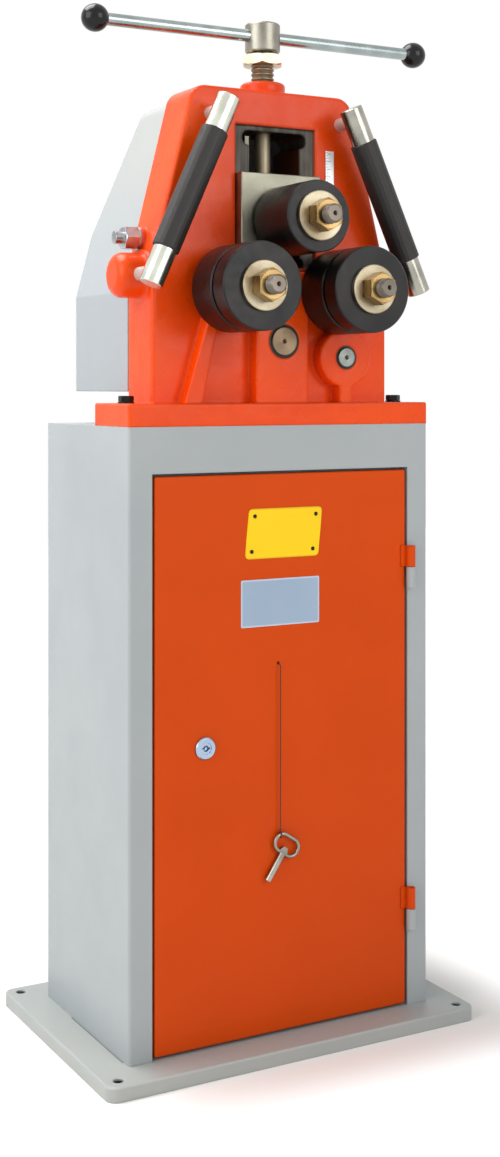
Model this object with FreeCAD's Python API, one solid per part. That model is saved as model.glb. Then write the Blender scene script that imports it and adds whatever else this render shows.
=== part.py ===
"""Three-roll ring roller: cast head with overhung rolls on a sheet-metal cabinet.

Millimetres. +X to the operator's right, +Y to the back, +Z up.
The origin is on the floor, in the middle of the base tray.
"""
import FreeCAD, Part
import math
import os

V = FreeCAD.Vector
X_AXIS = V(1, 0, 0)
Y_AXIS = V(0, 1, 0)
Z_AXIS = V(0, 0, 1)

# ---------------------------------------------------------------- clearances
seat_gap = 0.05          # radial, piece seated in a bore of its own body
run_gap = 0.05           # radial, shaft in its bush
slide_gap = 0.1          # slider on its ways
face_gap = 0.3           # between faces that pass each other
door_gap = 3.5           # around the door

# ---------------------------------------------------------------- shapes shared by many pieces
nut_face_share = 0.97    # flat end of a nut, as a share of its size across flats
nut_corner_share = 0.6   # height of the turned-off corner, as a share of corner over flat
crest_start = 0.4        # flat crest of a thread, as shares of its pitch
crest_end = 0.6
flare_steps = 6          # steps of a quarter-round flare

# ---------------------------------------------------------------- base tray
base_width = 532.0
base_depth = 360.0
base_height = 18.0
base_sheet = 3.0
base_corner_radius = 14.0
base_edge_radius = 2.5
floor_hole_diameter = 13.0
floor_hole_inset = 19.0

# ---------------------------------------------------------------- cabinet
cabinet_width = 440.0
cabinet_depth = 265.0
cabinet_height = 777.0
cabinet_sheet = 2.0
cabinet_corner_radius = 4.0
stile_width = 31.5
top_rail_height = 58.0
jamb_depth = 20.0
stop_lip_width = 20.0
bottom_flange_width = 22.0

# ---------------------------------------------------------------- door
door_sheet = 1.5
door_pan_depth = 17.5
door_edge_radius = 2.4

hinge_barrel_radius = 6.0
hinge_pin_radius = 3.5
hinge_half_height = 28.0
hinge_pin_length = 53.2
hinge_gap = 0.6
hinge_leaf_thickness = 2.0
hinge_leaf_reach = 8.0
hinge_foot_width = 6.0
upper_hinge_drop = 129.1  # from the door's top edge to where the upper hinge's halves meet
lower_hinge_rise = 127.2  # from the door's bottom edge to where the lower hinge's halves meet
hinge_axis_inset = 30.0  # from the cabinet's right side

lock_inset = 69.0        # from the door's left edge
lock_rise = 372.5        # from the door's bottom edge
lock_head_radius = 14.0
lock_head_height = 4.0
lock_head_edge = 1.5
lock_body_radius = 10.0
lock_body_length = 18.0
lock_barrel_radius = 7.5
lock_barrel_recess = 1.0
lock_nut_flats = 27.0
lock_nut_height = 5.0
lock_square = 7.0
lock_square_reach = 1.5  # behind the cam
cam_width = 18.0
cam_length = 62.0
cam_thickness = 3.0
cam_gap = 1.0            # behind the stop lip
cam_corner_radius = 5.4
cam_tail = 12.0
key_socket_radius = 4.0
key_socket_bit = 1.2     # half the height of the level slot
key_socket_rim = 1.6
key_socket_depth = 9.0
key_pin_radius = 1.8

name_plate_width = 108.0
name_plate_height = 63.7
name_plate_slant = 6.6
name_plate_corner = 6.0
name_plate_x = -2.6
name_plate_drop = 75.7   # from the door's top edge to the plate's middle
plate_thickness = 1.0
rivet_inset_x = 9.0
rivet_inset_z = 9.5
rivet_radius = 2.6
rivet_height = 1.4
rivet_crown_radius = 1.4
rivet_rim_height = 0.5
label_width = 115.0
label_height = 60.0
label_x = -7.5
label_drop = 163.8       # from the door's top edge to the plate's middle
label_thickness = 0.6
label_corner = 2.0

# ---------------------------------------------------------------- key on its string
string_diameter = 1.5
string_hole_diameter = 4.0
string_x = -10.5
string_hole_drop = 241.9  # from the door's top edge to the hole
string_drop = 214.0      # from the door hole to the bow of the key
string_bend = 2.2        # radius where the string turns down at the hole
string_stand_off = 5.3   # from the door's face
knot_radius = 3.0
tie_knot_radius = 1.8
loop_radius = 3.8
key_bow_radius = 11.0    # of the bow's two ends, to the middle of the wire
key_bow_half = 7.5       # from the middle of the bow to the middle of each end
key_wire_radius = 2.2
key_web_thickness = 2.6
key_web_depth = 8.0      # of the flat web inside the bow
key_web_half_tip = 3.0
key_web_half_root = 7.0
key_barrel_radius = 4.1
key_tie_offset = 9.3     # sideways, from the middle of the bow to the string
key_reach = 50.0         # from the middle of the bow to the tip
key_tilt = 34.0          # degrees of the barrel from straight down
key_bore_depth = 20.0
key_bore_radius = 2.6

# ---------------------------------------------------------------- head casting
foot_depth = 104.5
foot_height = 28.5
foot_edge = 2.5
head_centre_x = -4.0     # middle of the outline; the slide is at x = 0
head_front_inset = 24.0  # front face behind the cabinet's front
head_depth = 72.0
head_side_inset = 46.5   # cheeks inside the cabinet's sides, before the shift of the middle
head_shoulder_rise = 33.0  # above the lower rolls' axes
head_bridge = 52.0       # metal above the slide opening
head_top_inset = 57.5    # top corners inside the cheeks
head_corner_radius = 24.0
head_edge = 4.0
top_boss_radius = 29.5
top_boss_height = 15.0
top_boss_edge = 5.0
top_boss_flare = 3.5
ear_radius = 28.5
ear_side_inset = 8.0     # ends inside the cabinet's sides, before the shift of the middle
ear_rise = 17.0          # above the lower rolls' axes
ear_root_radius = 5.0
ear_depth = 25.0         # of its root inside the head
ear_edge = 14.0

slot_half_width = 38.0
slot_relief_radius = 6.0
slot_top_relief_radius = 9.5
way_gap = 0.5            # beside the slider
way_margin_low = 3.0     # seat below the opening
way_margin_high = 6.0    # seat above the opening
way_depth = 5.0
way_edge = 1.75

rib_inset = 3.5          # face of block, rib and boss behind the cabinet's front
rib_edge = 3.0
rib_height = 108.5       # leaning rib above the foot
rib_left_top = -108.2
rib_left_bottom = -142.9
rib_right_top = -93.2
rib_right_bottom = -117.3
block_left = -40.0
block_right = 36.5
block_gap = 6.0          # below the seat of the ways
input_boss_radius = 38.5
input_neck_half_width = 9.0

foot_bolt_inset = 20.0   # from the foot's sides
foot_bolt_y = 52.0       # behind the cabinet's front
bolt_diameter = 10.0
bolt_head_flats = 17.0
bolt_head_height = 7.5
bolt_washer_radius = 10.5
bolt_washer_thickness = 2.0
bolt_hole_clearance = 0.5
bolt_end_reach = 4.0     # below the nut

# ---------------------------------------------------------------- roll positions
lower_roll_x = 79.0
lower_roll_rise = 172.0  # above the cabinet
top_roll_rise = 88.5     # above the lower rolls
roll_front_reach = 83.0  # roll faces in front of the cabinet's front
roll_length = 85.0
lower_roll_radius = 55.0
top_roll_radius = 45.0
roll_edge = 1.5
front_ring_length = 28.0
ring_groove_width = 5.0
ring_groove_radius = 47.0
collar_radius = 28.0
roll_seat_radius = 17.5
roll_seat_inset = 1.0    # seat ends inside the ring, so that the washer bears on the ring
roll_key_width = 10.0
roll_key_height = 4.0    # below the seat's surface
roll_key_rise = 3.0      # above the seat's surface
roll_key_inset = 4.0     # from each end of the rolls
roll_washer_radius = 31.0
roll_washer_thickness = 6.0
roll_nut_flats = 36.0
roll_nut_height = 19.0
thread_reach = 13.0      # shaft end beyond the nut
shaft_thread_radius = 12.0
shaft_thread_pitch = 3.0
shaft_thread_depth = 1.35
shaft_nose_edge = 2.4
lower_shaft_radius = 20.0
shaft_rear_reach = 3.0   # behind the gear
bush_wall = 5.0
bush_flange_radius = 31.0
bush_flange_thickness = 4.0
centre_hole_radius = 3.0
centre_hole_depth = 5.0

# ---------------------------------------------------------------- gear train
gear_module = 3.0
roll_gear_teeth = 44
mid_pinion_teeth = 24
mid_wheel_teeth = 48
input_pinion_teeth = 16
pressure_angle = 20.0
backlash = 0.35          # taken off each tooth at the pitch circle
addendum_factor = 0.9
dedendum_factor = 1.25
gear_root_step = 0.2     # straight foot of a flank above the root circle
gear_plane_gap = 18.0    # roll gears behind the head's rear face
roll_gear_width = 22.0
wheel_plane_gap = 44.0   # wheel behind the head's rear face
wheel_width = 20.0
gear_hub_radius = 27.0
gear_seat_radius = 15.0
mid_shaft_radius = 19.0
mid_bush_wall = 3.0
input_shaft_radius = 13.0
input_bush_wall = 2.5
input_shaft_rise = 87.5  # above the cabinet
mid_shaft_nose = 2.0     # stands out of the block's face
input_shaft_nose = 2.0
wheel_seat_radius = 15.0
wheel_rim = 14.0
wheel_holes = 5
wheel_hole_radius = 9.0

# ---------------------------------------------------------------- slider
slider_half_width = 58.5
slider_below = 31.5      # below the top roll's axis
slider_above = 62.0      # above the top roll's axis
slider_stand_out = 14.0  # in front of the head's face
slider_bottom_radius = 4.0
gib_thickness = 6.0
gib_end_gap = 6.0        # from the opening's bottom and top
gib_end_inset = 10.0
keeper_half_width = 56.0
keeper_thickness = 9.0
keeper_screw_x = 28.0
keeper_screw_z = 34.0    # from the middle of the guide block to the screw rows
keeper_screw_radius = 4.0
keeper_screw_head_radius = 6.5
keeper_screw_head_height = 5.0
keeper_screw_depth = 18.0  # in the slider
keeper_socket_flats = 5.6
top_shaft_radius = 18.0
top_bush_wall = 4.0
top_collar_rear_thickness = 5.0
top_collar_rear_radius = 25.0
slider_low = -20.0       # travel of the slider from rest
slider_high = 50.0
travel_stop_gap = 2.0    # below the slider at its lowest
upper_stop_gap = 6.5     # above the slider at its highest
lock_nut_stop_gap = 3.0  # below the lock nut at its lowest

# ---------------------------------------------------------------- spindle and T-bar
spindle_radius = 15.0
spindle_pitch = 6.0
spindle_thread_depth = 2.0
spindle_thread_gap = 2.0  # thread starts above the opening's top
spindle_stem_radius = 10.0
spindle_foot_radius = 16.0
spindle_foot_height = 14.0
retainer_thickness = 6.0
retainer_length = 62.0
retainer_width = 52.0
retainer_split = 0.4     # between its halves
spindle_bush_radius = 21.0
spindle_nut_height = 14.0
spindle_nut_flats = 50.0
spindle_nut_turn = 30.0  # degrees
hub_gap = 3.5            # above the lock nut
hub_radius = 23.0
hub_height = 38.0
hub_edge = 2.0
hub_cap = 3.0            # metal above the spindle's head
spindle_head_radius = 12.0
bar_radius = 8.0
bar_rise = 21.0          # above the hub's bottom
bar_half_length = 238.5  # to the middle of each knob
knob_radius = 17.5
knob_hole_depth = 14.0

# ---------------------------------------------------------------- handles
handle_top_inset = 26.5  # from the head's top corners
handle_top_drop = 20.5   # below the head's top
handle_bottom_inset = 14.5  # from the ears' ends
handle_bottom_drop = 15.0  # below the ears' axis
handle_stand_off = 38.0  # tube axis in front of the head's face
handle_tube_radius = 15.0
handle_tube_wall = 2.5
handle_plug_depth = 3.0
grip_wall = 2.5
grip_margin = 47.5
grip_edge = 1.2
stud_inset = 17.0
stud_radius = 8.5
stud_screw_radius = 5.0
stud_screw_depth = 14.0
stud_screw_start = 4.0   # behind the tube's axis

# ---------------------------------------------------------------- scale and gib screw
scale_gap = 22.0         # from the slider's side to the middle of the strip
scale_width = 12.5
scale_rise = 34.5        # above the top roll's axis
scale_length = 64.0
scale_thickness = 1.5
gib_screw_drop = 23.5    # below the top roll's axis
gib_screw_y = 73.0       # behind the cabinet's front
gib_screw_radius = 8.0
gib_screw_reach = 29.5   # outside the cheek at its widest
gib_nut_flats = 27.0
gib_nut_height = 19.0
gib_washer_radius = 15.0
gib_washer_thickness = 3.0
gib_pad_margin = 0.5
gib_pad_depth = 30.0
gib_pad_step = 0.5       # pad proud of the leaning cheek at its lower edge

# ---------------------------------------------------------------- rear cover
cover_sheet = 2.0
cover_bottom_gap = 14.5  # above the head's foot
cover_shoulder_drop = 1.0  # below the lower rolls' axes
cover_top_drop = 6.0     # below the head's top
cover_top_inset = 68.5   # top corners inside the sides
cover_slope_rise = 84.0  # above the lower rolls' axes, where the back starts to lean
cover_top_depth = 94.0   # of the flat top behind the head
cover_corner_radius = 22.0
cover_knee_radius = 30.0
cover_lip_width = 14.0
cover_screw_radius = 3.0
cover_screw_head_radius = 5.5
cover_screw_crown_radius = 3.9
cover_screw_head_height = 3.0
cover_screw_depth = 14.0
cover_screw_low = 30.0   # lowest screws above the cover's bottom
cover_screw_high = 70.0  # highest screws below the cover's top
cover_screw_rows = 4
cover_hole_gap = 5.0     # around the input shaft

# ---------------------------------------------------------------- outboard bearing and crank
outboard_gap = 33.0      # bearing in front of the cabinet's back
outboard_length = 28.0
outboard_half_width = 24.0
outboard_foot_half_width = 48.0
outboard_foot_height = 14.0
outboard_bolt_x = 37.0
crank_gap = 8.0          # behind the cabinet's back
crank_thickness = 12.0
crank_length = 200.0
crank_hub_radius = 24.0
crank_end_radius = 15.0
crank_hub_length = 20.0
crank_square = 18.0
crank_square_radius = 11.0  # the square's corners are turned off to this
crank_pin_radius = 6.0
crank_pin_cap_radius = 9.0
crank_pin_cap = 4.0
grip_radius = 15.0
grip_waist_radius = 12.5
crank_grip_edge = 3.5
grip_end_y = 253.5

# ---------------------------------------------------------------- worked-out places
cabinet_bottom_z = base_height
cabinet_top_z = base_height + cabinet_height
cabinet_front_y = -cabinet_depth / 2
cabinet_rear_y = cabinet_depth / 2
opening_left_x = -cabinet_width / 2 + stile_width
opening_right_x = cabinet_width / 2 - stile_width
opening_top_z = cabinet_top_z - top_rail_height
door_left_x = opening_left_x + door_gap
door_right_x = opening_right_x - door_gap
door_bottom_z = cabinet_bottom_z + door_gap
door_top_z = opening_top_z - door_gap
hinge_x = cabinet_width / 2 - hinge_axis_inset
hinge_y = cabinet_front_y - hinge_barrel_radius
upper_hinge_z = door_top_z - upper_hinge_drop
lower_hinge_z = door_bottom_z + lower_hinge_rise
lock_x = door_left_x + lock_inset
lock_z = door_bottom_z + lock_rise
name_plate_z = door_top_z - name_plate_drop
label_z = door_top_z - label_drop
string_z = door_top_z - string_hole_drop
head_half_width = cabinet_width / 2 - head_side_inset
head_top_half_width = head_half_width - head_top_inset
ear_reach = cabinet_width / 2 - ear_side_inset
foot_bolt_x = cabinet_width / 2 - foot_bolt_inset
cover_top_half_width = head_half_width - cover_top_inset
handle_top_x = head_top_half_width - handle_top_inset
handle_bottom_x = ear_reach - handle_bottom_inset
scale_x = slider_half_width + scale_gap
gib_screw_end_x = head_centre_x - head_half_width - gib_screw_reach
foot_top_z = cabinet_top_z + foot_height
lower_roll_z = cabinet_top_z + lower_roll_rise
top_roll_z = lower_roll_z + top_roll_rise
input_shaft_z = cabinet_top_z + input_shaft_rise
slider_bottom_z = top_roll_z - slider_below
slider_top_z = top_roll_z + slider_above
guide_top_z = slider_top_z - retainer_thickness
slot_bottom_z = slider_bottom_z + slider_low - travel_stop_gap
slot_top_z = slider_top_z + slider_high + upper_stop_gap
way_half_width = slider_half_width + way_gap
way_bottom_z = slot_bottom_z - way_margin_low
way_top_z = slot_top_z + way_margin_high
block_top_z = way_bottom_z - block_gap
head_shoulder_z = lower_roll_z + head_shoulder_rise
head_top_z = slot_top_z + head_bridge
boss_top_z = head_top_z + top_boss_height
ear_z = lower_roll_z + ear_rise
head_front_y = cabinet_front_y + head_front_inset
head_rear_y = head_front_y + head_depth
rib_front_y = cabinet_front_y + rib_inset
spindle_y = (head_front_y + head_rear_y) / 2
way_y = head_front_y + way_depth
lock_nut_bottom_z = boss_top_z - slider_low + lock_nut_stop_gap
hub_bottom_z = lock_nut_bottom_z + spindle_nut_height + hub_gap
hub_top_z = hub_bottom_z + hub_height
bar_z = hub_bottom_z + bar_rise
slider_front_y = head_front_y - slider_stand_out
keeper_front_y = head_rear_y + slide_gap
keeper_rear_y = keeper_front_y + keeper_thickness
roll_front_y = cabinet_front_y - roll_front_reach
roll_rear_y = roll_front_y + roll_length
washer_front_y = roll_front_y - roll_washer_thickness
nut_front_y = washer_front_y - roll_nut_height
shaft_front_y = nut_front_y - thread_reach
mid_distance = gear_module * (roll_gear_teeth + mid_pinion_teeth) / 2
input_distance = gear_module * (mid_wheel_teeth + input_pinion_teeth) / 2
mid_shaft_z = lower_roll_z - math.sqrt(mid_distance ** 2 - lower_roll_x ** 2)
input_shaft_x = math.sqrt(input_distance ** 2 - (mid_shaft_z - input_shaft_z) ** 2)
roll_gear_y = head_rear_y + gear_plane_gap
wheel_y = head_rear_y + wheel_plane_gap
bush_outer_radius = lower_shaft_radius + bush_wall
mid_bush_radius = mid_shaft_radius + mid_bush_wall
input_bush_radius = input_shaft_radius + input_bush_wall
outboard_rear_y = cabinet_rear_y - outboard_gap
outboard_front_y = outboard_rear_y - outboard_length
crank_front_y = cabinet_rear_y + crank_gap
handle_y = head_front_y - handle_stand_off
handle_top_z = head_top_z - handle_top_drop
handle_bottom_z = ear_z - handle_bottom_drop
gib_bottom_z = slot_bottom_z + gib_end_gap
gib_top_z = slot_top_z - gib_end_gap
gib_screw_z = top_roll_z - gib_screw_drop
scale_bottom_z = top_roll_z + scale_rise
scale_top_z = scale_bottom_z + scale_length
cover_bottom_z = foot_top_z + cover_bottom_gap
cover_shoulder_z = lower_roll_z - cover_shoulder_drop
cover_slope_z = lower_roll_z + cover_slope_rise
cover_top_z = head_top_z - cover_top_drop

os.makedirs("parts", exist_ok=True)


# ================================================================ helpers
def box(x0, x1, y0, y1, z0, z1):
    return Part.makeBox(x1 - x0, y1 - y0, z1 - z0, V(x0, y0, z0))


def rod(radius, start, end):
    """Cylinder from one point to another."""
    return Part.makeCylinder(radius, (end - start).Length, start, end - start)


def rod_y(radius, x, z, y0, y1):
    return Part.makeCylinder(radius, y1 - y0, V(x, y0, z), Y_AXIS)


def tube_y(outer, inner, x, z, y0, y1):
    return rod_y(outer, x, z, y0, y1).cut(rod_y(inner, x, z, y0 - 1, y1 + 1))


def polygon_face(points):
    return Part.Face(Part.makePolygon(points + [points[0]]))


def hexagon(flats, base, axis, height):
    """Hexagonal prism: across-flats size, base centre, axis and height."""
    corner = flats / math.sqrt(3)
    ring = [V(corner * math.cos(math.radians(a)), corner * math.sin(math.radians(a)), 0)
            for a in range(30, 390, 60)]
    prism = polygon_face(ring).extrude(V(0, 0, height))
    prism.Placement = FreeCAD.Placement(base, FreeCAD.Rotation(Z_AXIS, axis))
    return prism


def chamfered_hexagon(flats, base, axis, height):
    """Hexagon nut blank with its corners turned off at both ends."""
    corner = flats / math.sqrt(3)
    drop = (corner - flats / 2) * nut_corner_share
    face = flats / 2 * nut_face_share
    profile = [V(0, 0, 0), V(face, 0, 0), V(corner, 0, drop), V(corner, 0, height - drop),
               V(face, 0, height), V(0, 0, height)]
    cone = polygon_face(profile).revolve(V(0, 0, 0), Z_AXIS, 360)
    cone.Placement = FreeCAD.Placement(base, FreeCAD.Rotation(Z_AXIS, axis))
    return hexagon(flats, base, axis, height).common(cone)


def turned(profile, base, axis):
    """Solid of revolution: profile points are (radius, distance along the axis)."""
    points = [V(radius, 0, along) for radius, along in profile]
    body = polygon_face(points).revolve(V(0, 0, 0), Z_AXIS, 360)
    body.Placement = FreeCAD.Placement(base, FreeCAD.Rotation(Z_AXIS, axis))
    return body


def thread_profile(radius, depth, pitch, start, end):
    """Zigzag crest line of a thread, as rings, between two distances on the axis."""
    count = max(1, int((end - start) / pitch))
    step = (end - start) / count
    points = []
    for turn in range(count):
        along = start + turn * step
        points.append((radius - depth, along))
        points.append((radius, along + step * crest_start))
        points.append((radius, along + step * crest_end))
    points.append((radius - depth, end))
    return points


def flare(radius, growth, start):
    """Quarter-round flare of a turned profile, from its wide end out to the plain radius."""
    points = []
    for step in range(flare_steps + 1):
        angle = math.pi / 2 * step / flare_steps
        points.append((radius + growth * (1 - math.sin(angle)), start + growth * (1 - math.cos(angle))))
    return points


def rounded_box(x0, x1, y0, y1, z0, z1, radius, direction):
    """Box whose edges along one direction are rounded."""
    shape = box(x0, x1, y0, y1, z0, z1)
    edges = [e for e in shape.Edges
             if abs(abs(e.tangentAt(e.FirstParameter).dot(direction)) - 1) < 1e-6]
    return shape.makeFillet(radius, edges)


def save(name, shape):
    shape.exportStep("parts/" + name + ".step")


def group(solids):
    return Part.makeCompound(solids)


# ================================================================ stand
def floor_hole_places():
    x = base_width / 2 - floor_hole_inset
    y = base_depth / 2 - floor_hole_inset
    return [V(sx * x, sy * y, 0) for sx in (-1, 1) for sy in (-1, 1)]


def base_tray():
    half_x, half_y = base_width / 2, base_depth / 2
    outer = rounded_box(-half_x, half_x, -half_y, half_y, 0, base_height, base_corner_radius, Z_AXIS)
    rim = [e for e in outer.Edges if abs(e.BoundBox.ZMin - base_height) < 1e-6]
    outer = outer.makeFillet(base_edge_radius, rim)
    inner = rounded_box(-half_x + base_sheet, half_x - base_sheet, -half_y + base_sheet,
                        half_y - base_sheet, -1, base_height - base_sheet,
                        base_corner_radius - base_sheet, Z_AXIS)
    tray = outer.cut(inner)
    for place in floor_hole_places():
        tray = tray.cut(Part.makeCylinder(floor_hole_diameter / 2, base_height + 2, place - Z_AXIS))
    return tray


def cabinet_top_holes():
    holes = []
    for side in (-1, 1):
        place = V(side * foot_bolt_x, cabinet_front_y + foot_bolt_y, cabinet_top_z - 10)
        holes.append(Part.makeCylinder(bolt_diameter / 2 + bolt_hole_clearance, 20, place))
        place = V(input_shaft_x + side * outboard_bolt_x, (outboard_front_y + outboard_rear_y) / 2,
                  cabinet_top_z - 10)
        holes.append(Part.makeCylinder(bolt_diameter / 2 + bolt_hole_clearance,
                                       outboard_foot_height + 20, place))
    return holes


def cabinet_shell():
    half = cabinet_width / 2
    t = cabinet_sheet
    shell = rounded_box(-half, half, cabinet_front_y, cabinet_rear_y, cabinet_bottom_z,
                        cabinet_top_z, cabinet_corner_radius, Z_AXIS)
    inside = rounded_box(-half + t, half - t, cabinet_front_y + t, cabinet_rear_y - t,
                         cabinet_bottom_z - 1, cabinet_top_z - t, cabinet_corner_radius - t, Z_AXIS)
    shell = shell.cut(inside)
    # door jamb and stop lip, folded in from the edge of the opening
    back = cabinet_front_y + jamb_depth
    jamb = box(opening_left_x - t, opening_right_x + t, cabinet_front_y, back + t,
               cabinet_bottom_z, opening_top_z + t)
    jamb = jamb.cut(box(opening_left_x, opening_right_x, cabinet_front_y - 1, back,
                        cabinet_bottom_z - 1, opening_top_z))
    lip = stop_lip_width
    jamb = jamb.cut(box(opening_left_x + lip, opening_right_x - lip, back - 1, back + t + 1,
                        cabinet_bottom_z - 1, opening_top_z - lip))
    shell = shell.cut(box(opening_left_x, opening_right_x, cabinet_front_y - 1,
                          cabinet_front_y + t + 1, cabinet_bottom_z - 1, opening_top_z))
    shell = shell.fuse(jamb)
    # flange that stands on the tray, at the two sides and the back
    w = bottom_flange_width
    flange = box(-half + t / 2, half - t / 2, back + t, cabinet_rear_y - t / 2,
                 cabinet_bottom_z, cabinet_bottom_z + t)
    flange = flange.cut(box(-half + w, half - w, back, cabinet_rear_y - w,
                            cabinet_bottom_z - 1, cabinet_bottom_z + t + 1))
    shell = shell.fuse(flange)
    for hole in cabinet_top_holes():
        shell = shell.cut(hole)
    return shell.removeSplitter()


def door_panel():
    front, back = cabinet_front_y, cabinet_front_y + door_pan_depth
    pan = box(door_left_x, door_right_x, front, back, door_bottom_z, door_top_z)
    edges = [e for e in pan.Edges
             if e.BoundBox.YMax < front + 1e-6 or e.BoundBox.YLength > door_pan_depth - 1e-6]
    pan = pan.makeFillet(door_edge_radius, edges)
    s = door_sheet
    pan = pan.cut(box(door_left_x + s, door_right_x - s, front + s, back + 1,
                      door_bottom_z + s, door_top_z - s))
    pan = pan.cut(rod_y(lock_body_radius + seat_gap, lock_x, lock_z, front - 1, front + s + 1))
    pan = pan.cut(rod_y(string_hole_diameter / 2, string_x, string_z, front - 1, front + s + 1))
    for x, z in rivet_places():
        pan = pan.cut(rod_y(rivet_radius / 2 + seat_gap, x, z, front - 1, front + s + 1))
    return pan


def hinge_half(meet_z, upper):
    """One half of a lift-off hinge; the upper half belongs to the door."""
    low = meet_z + hinge_gap / 2 if upper else meet_z - hinge_half_height
    high = meet_z + hinge_half_height if upper else meet_z - hinge_gap / 2
    barrel = Part.makeCylinder(hinge_barrel_radius, high - low, V(hinge_x, hinge_y, low))
    half_foot = hinge_foot_width / 2
    if upper:
        leaf = box(door_right_x - hinge_leaf_reach, hinge_x, cabinet_front_y - hinge_leaf_thickness,
                   cabinet_front_y, low, high)
        barrel = barrel.fuse(leaf)
    else:
        foot = box(hinge_x, hinge_x + half_foot * 2, hinge_y, cabinet_front_y, low, high)
        barrel = barrel.fuse(foot)
    radius = hinge_pin_radius + (run_gap if upper else seat_gap)
    return barrel.cut(Part.makeCylinder(radius, high - low + 2, V(hinge_x, hinge_y, low - 1)))


def hinge_pin(meet_z):
    """Pin fixed in the lower half and standing up into the upper one."""
    low = meet_z - hinge_half_height
    return Part.makeCylinder(hinge_pin_radius, hinge_pin_length, V(hinge_x, hinge_y, low))


def lock_body():
    front = cabinet_front_y - lock_head_height
    profile = [(0, 0), (lock_head_radius - lock_head_edge, 0), (lock_head_radius, lock_head_edge),
               (lock_head_radius, lock_head_height), (lock_body_radius, lock_head_height),
               (lock_body_radius, lock_head_height + lock_body_length),
               (0, lock_head_height + lock_body_length)]
    body = turned(profile, V(lock_x, front, lock_z), Y_AXIS)
    bore = rod_y(lock_barrel_radius + run_gap, lock_x, lock_z, front - 1,
                 front + lock_head_height + lock_body_length + 1)
    return body.cut(bore)


def lock_nut():
    front = cabinet_front_y + door_sheet
    nut = hexagon(lock_nut_flats, V(lock_x, front, lock_z), Y_AXIS, lock_nut_height)
    return nut.cut(rod_y(lock_body_radius + seat_gap, lock_x, lock_z, front - 1,
                         front + lock_nut_height + 1))


def cam_front_y():
    return cabinet_front_y + jamb_depth + cabinet_sheet + cam_gap


def lock_barrel():
    front = cabinet_front_y - lock_head_height + lock_barrel_recess
    body_end = cabinet_front_y + lock_body_length
    core = rod_y(lock_barrel_radius, lock_x, lock_z, front, body_end)
    half = lock_square / 2
    square = box(lock_x - half, lock_x + half, body_end - 1,
                 cam_front_y() + cam_thickness + lock_square_reach, lock_z - half, lock_z + half)
    core = core.fuse(square)
    socket = rod_y(key_socket_radius, lock_x, lock_z, front - 1, front + key_socket_depth)
    reach = lock_barrel_radius - key_socket_rim
    bit = box(lock_x - reach, lock_x + reach, front - 1, front + key_socket_depth,
              lock_z - key_socket_bit, lock_z + key_socket_bit)
    pin = rod_y(key_pin_radius, lock_x, lock_z, front + 0.5, front + key_socket_depth + 1)
    return core.cut(socket.fuse(bit)).fuse(pin)


def lock_cam():
    """Latch bar, pointing up when unlocked."""
    y0, y1 = cam_front_y(), cam_front_y() + cam_thickness
    half = cam_width / 2
    bar = box(lock_x - half, lock_x + half, y0, y1, lock_z - cam_tail, lock_z + cam_length)
    edges = [e for e in bar.Edges if e.BoundBox.YLength > cam_thickness - 1e-6]
    bar = bar.makeFillet(cam_corner_radius, edges)
    hole = lock_square / 2 + seat_gap
    return bar.cut(box(lock_x - hole, lock_x + hole, y0 - 1, y1 + 1, lock_z - hole, lock_z + hole))


def rivet_places():
    places = []
    for sx in (-1, 1):
        for sz in (-1, 1):
            z = name_plate_z + sz * (name_plate_height / 2 - rivet_inset_z)
            lean = name_plate_slant * (z - name_plate_z) / name_plate_height
            x = name_plate_x + lean + sx * (name_plate_width / 2 - rivet_inset_x)
            places.append((x, z))
    return places


def name_plate():
    """Thin plate in the shape of a leaning parallelogram."""
    y = cabinet_front_y
    half_w, half_h, lean = name_plate_width / 2, name_plate_height / 2, name_plate_slant / 2
    corners = [V(name_plate_x - half_w - lean, y, name_plate_z - half_h),
               V(name_plate_x + half_w - lean, y, name_plate_z - half_h),
               V(name_plate_x + half_w + lean, y, name_plate_z + half_h),
               V(name_plate_x - half_w + lean, y, name_plate_z + half_h)]
    plate = polygon_face(corners).extrude(V(0, -plate_thickness, 0))
    edges = [e for e in plate.Edges if e.BoundBox.YLength > plate_thickness - 1e-6]
    plate = plate.makeFillet(name_plate_corner, edges)
    for x, z in rivet_places():
        plate = plate.cut(rod_y(rivet_radius / 2 + seat_gap, x, z, y - plate_thickness - 1, y + 1))
    return plate


def plate_rivets():
    rivets = []
    for x, z in rivet_places():
        face = cabinet_front_y - plate_thickness
        length = plate_thickness + door_sheet
        profile = [(0, -rivet_height), (rivet_crown_radius, -rivet_height),
                   (rivet_radius, -rivet_rim_height), (rivet_radius, 0), (rivet_radius / 2, 0),
                   (rivet_radius / 2, length), (0, length)]
        rivets.append(turned(profile, V(x, face, z), Y_AXIS))
    return group(rivets)


def label_plate():
    half_w, half_h = label_width / 2, label_height / 2
    plate = box(label_x - half_w, label_x + half_w, cabinet_front_y - label_thickness,
                cabinet_front_y, label_z - half_h, label_z + half_h)
    edges = [e for e in plate.Edges if e.BoundBox.YLength > label_thickness - 1e-6]
    return plate.makeFillet(label_corner, edges)


# ================================================================ key on its string
def string_route():
    """Knot behind the door, through the hole, then straight down to the key."""
    inside = V(string_x, cabinet_front_y + door_sheet + knot_radius, string_z)
    turn = V(string_x, cabinet_front_y - string_stand_off, string_z)
    end = V(string_x, cabinet_front_y - string_stand_off, string_z - string_drop)
    return inside, turn, end


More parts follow.
